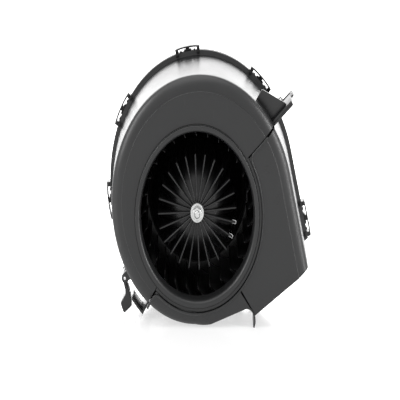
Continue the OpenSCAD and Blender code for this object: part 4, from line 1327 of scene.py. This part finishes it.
@register_operator
class BLOWER_OT_stage(Build, bpy.types.Operator):
    """Floor, lights, world and camera"""

    bl_idname = "blower.stage"
    bl_label = "Stage"

    def execute(self, context):
        self.floor(context.scene.blower_finish.floor)
        self.world()
        self.lamps()
        self.camera()
        context.scene.view_settings.view_transform = "Standard"
        return {"FINISHED"}

    def floor(self, base):
        """A wide pale plane at the casing's lowest point, with a faint glow of its own."""
        side = 6.0
        mesh = bpy.data.meshes.new("floor")
        corners = [(-side, -side, FLOOR_Z), (side, -side, FLOOR_Z), (side, side, FLOOR_Z),
                   (-side, side, FLOOR_Z)]
        mesh.from_pydata(corners, [], [(0, 1, 2, 3)])
        plane = bpy.data.objects.new("floor", mesh)
        bpy.context.scene.collection.objects.link(plane)
        f = Finish("Floor")
        mesh.materials.append(f.surface(
            Base_Color=tuple(base), Roughness=0.14, Specular_IOR_Level=0.28,
            Emission_Color=(1, 1, 1), Emission_Strength=0.62))

    def world(self):
        """White where it is seen or mirrored, softer where it lights."""
        world = bpy.data.worlds.new("Studio")
        bpy.context.scene.world = world
        world.use_nodes = True
        nodes = Nodes(world.node_tree)
        camera = nodes.node("ShaderNodeLightPath", out="Is Camera Ray")
        mirrored = camera.beside("Is Glossy Ray").larger(camera.beside("Is Transmission Ray"))
        light = nodes.node("ShaderNodeBackground", sockets={"Strength": 0.45})
        white = nodes.node("ShaderNodeBackground", sockets={"Color": (1, 1, 1), "Strength": 1.0})
        seen = camera.larger(mirrored)
        mix = nodes.node("ShaderNodeMixShader", values=(seen, light, white))
        nodes.end("ShaderNodeOutputWorld", mix)

    def lamps(self):
        """Soft boxes behind and above, and an upright strip at each side in front."""
        for name, place, size, power in (
            ("back", (0.1, 1.7, 0.55), (3.4, 1.5), 62),
            ("top", (-0.2, -0.1, 1.6), (1.6, 1.6), 12),
            ("left", (-1.5, -0.5, 0.8), (0.25, 1.3), 14),
            ("right", (1.5, -0.45, 0.5), (0.25, 1.1), 14),
        ):
            lamp = bpy.data.lights.new(name, "AREA")
            lamp.shape = "RECTANGLE"
            lamp.size, lamp.size_y = size
            lamp.energy = power
            holder = bpy.data.objects.new(name, lamp)
            bpy.context.scene.collection.objects.link(holder)
            turn = (Vector((0, 0.04, 0)) - Vector(place)).to_track_quat("-Z", "Y")
            holder.matrix_world = Matrix.Translation(place) @ turn.to_matrix().to_4x4()
            holder.visible_camera = False

    def camera(self):
        """Long lens from the front and a little above. The film's upright axis leans
        back, so that a width shows at `squeeze` times the size of an equal height."""
        azimuth, elevation, distance, squeeze = -0.15, 15.11, 2.94, 0.6563
        a, e = math.radians(azimuth), math.radians(elevation)
        look = Vector((-math.sin(a) * math.cos(e), math.cos(a) * math.cos(e), -math.sin(e)))
        right = Vector((math.cos(a), math.sin(a), 0))
        up = right.cross(look)
        back = -look
        at = Vector((0.0033, 0.0, 0.01226)) - look * distance
        film_up = up * squeeze + back * math.sqrt(1 - squeeze**2)
        rig = bpy.data.objects.new("camera_rig", None)
        bpy.context.scene.collection.objects.link(rig)
        data = bpy.data.cameras.new("camera")
        data.lens = 225.6
        data.clip_end = 50
        seat = bpy.data.objects.new("camera", data)
        bpy.context.scene.collection.objects.link(seat)
        seat.parent = rig
        seat.matrix_parent_inverse = Matrix((
            (right.x, film_up.x, back.x, at.x),
            (right.y, film_up.y, back.y, at.y),
            (right.z, film_up.z, back.z, at.z),
            (0, 0, 0, 1),
        ))
        bpy.context.scene.camera = seat


class BLOWER_PT_panel(bpy.types.Panel):
    """Sidebar panel with the sizes, the colours and one button for each piece"""

    bl_idname = "BLOWER_PT_panel"
    bl_label = "Heater blower"
    bl_space_type = "VIEW_3D"
    bl_region_type = "UI"
    bl_category = PANEL

    def draw(self, context):
        for operator in OPERATORS:
            self.layout.operator(operator.bl_idname)
        for group in GROUPS:
            box = self.layout.box()
            settings = getattr(context.scene, group)
            for name in settings.__annotations__:
                box.prop(settings, name)


def register():
    for cls in (*GROUPS.values(), *OPERATORS, BLOWER_PT_panel):
        bpy.utils.register_class(cls)
    for name, cls in GROUPS.items():
        setattr(bpy.types.Scene, name, bpy.props.PointerProperty(type=cls))


def unregister():
    for name in GROUPS:
        delattr(bpy.types.Scene, name)
    for cls in reversed((*GROUPS.values(), *OPERATORS, BLOWER_PT_panel)):
        bpy.utils.unregister_class(cls)


def main():
    """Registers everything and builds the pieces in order."""
    register()
    for operator in OPERATORS:
        group, name = operator.bl_idname.split(".")
        getattr(getattr(bpy.ops, group), name)()


if __name__ == "__main__":
    main()
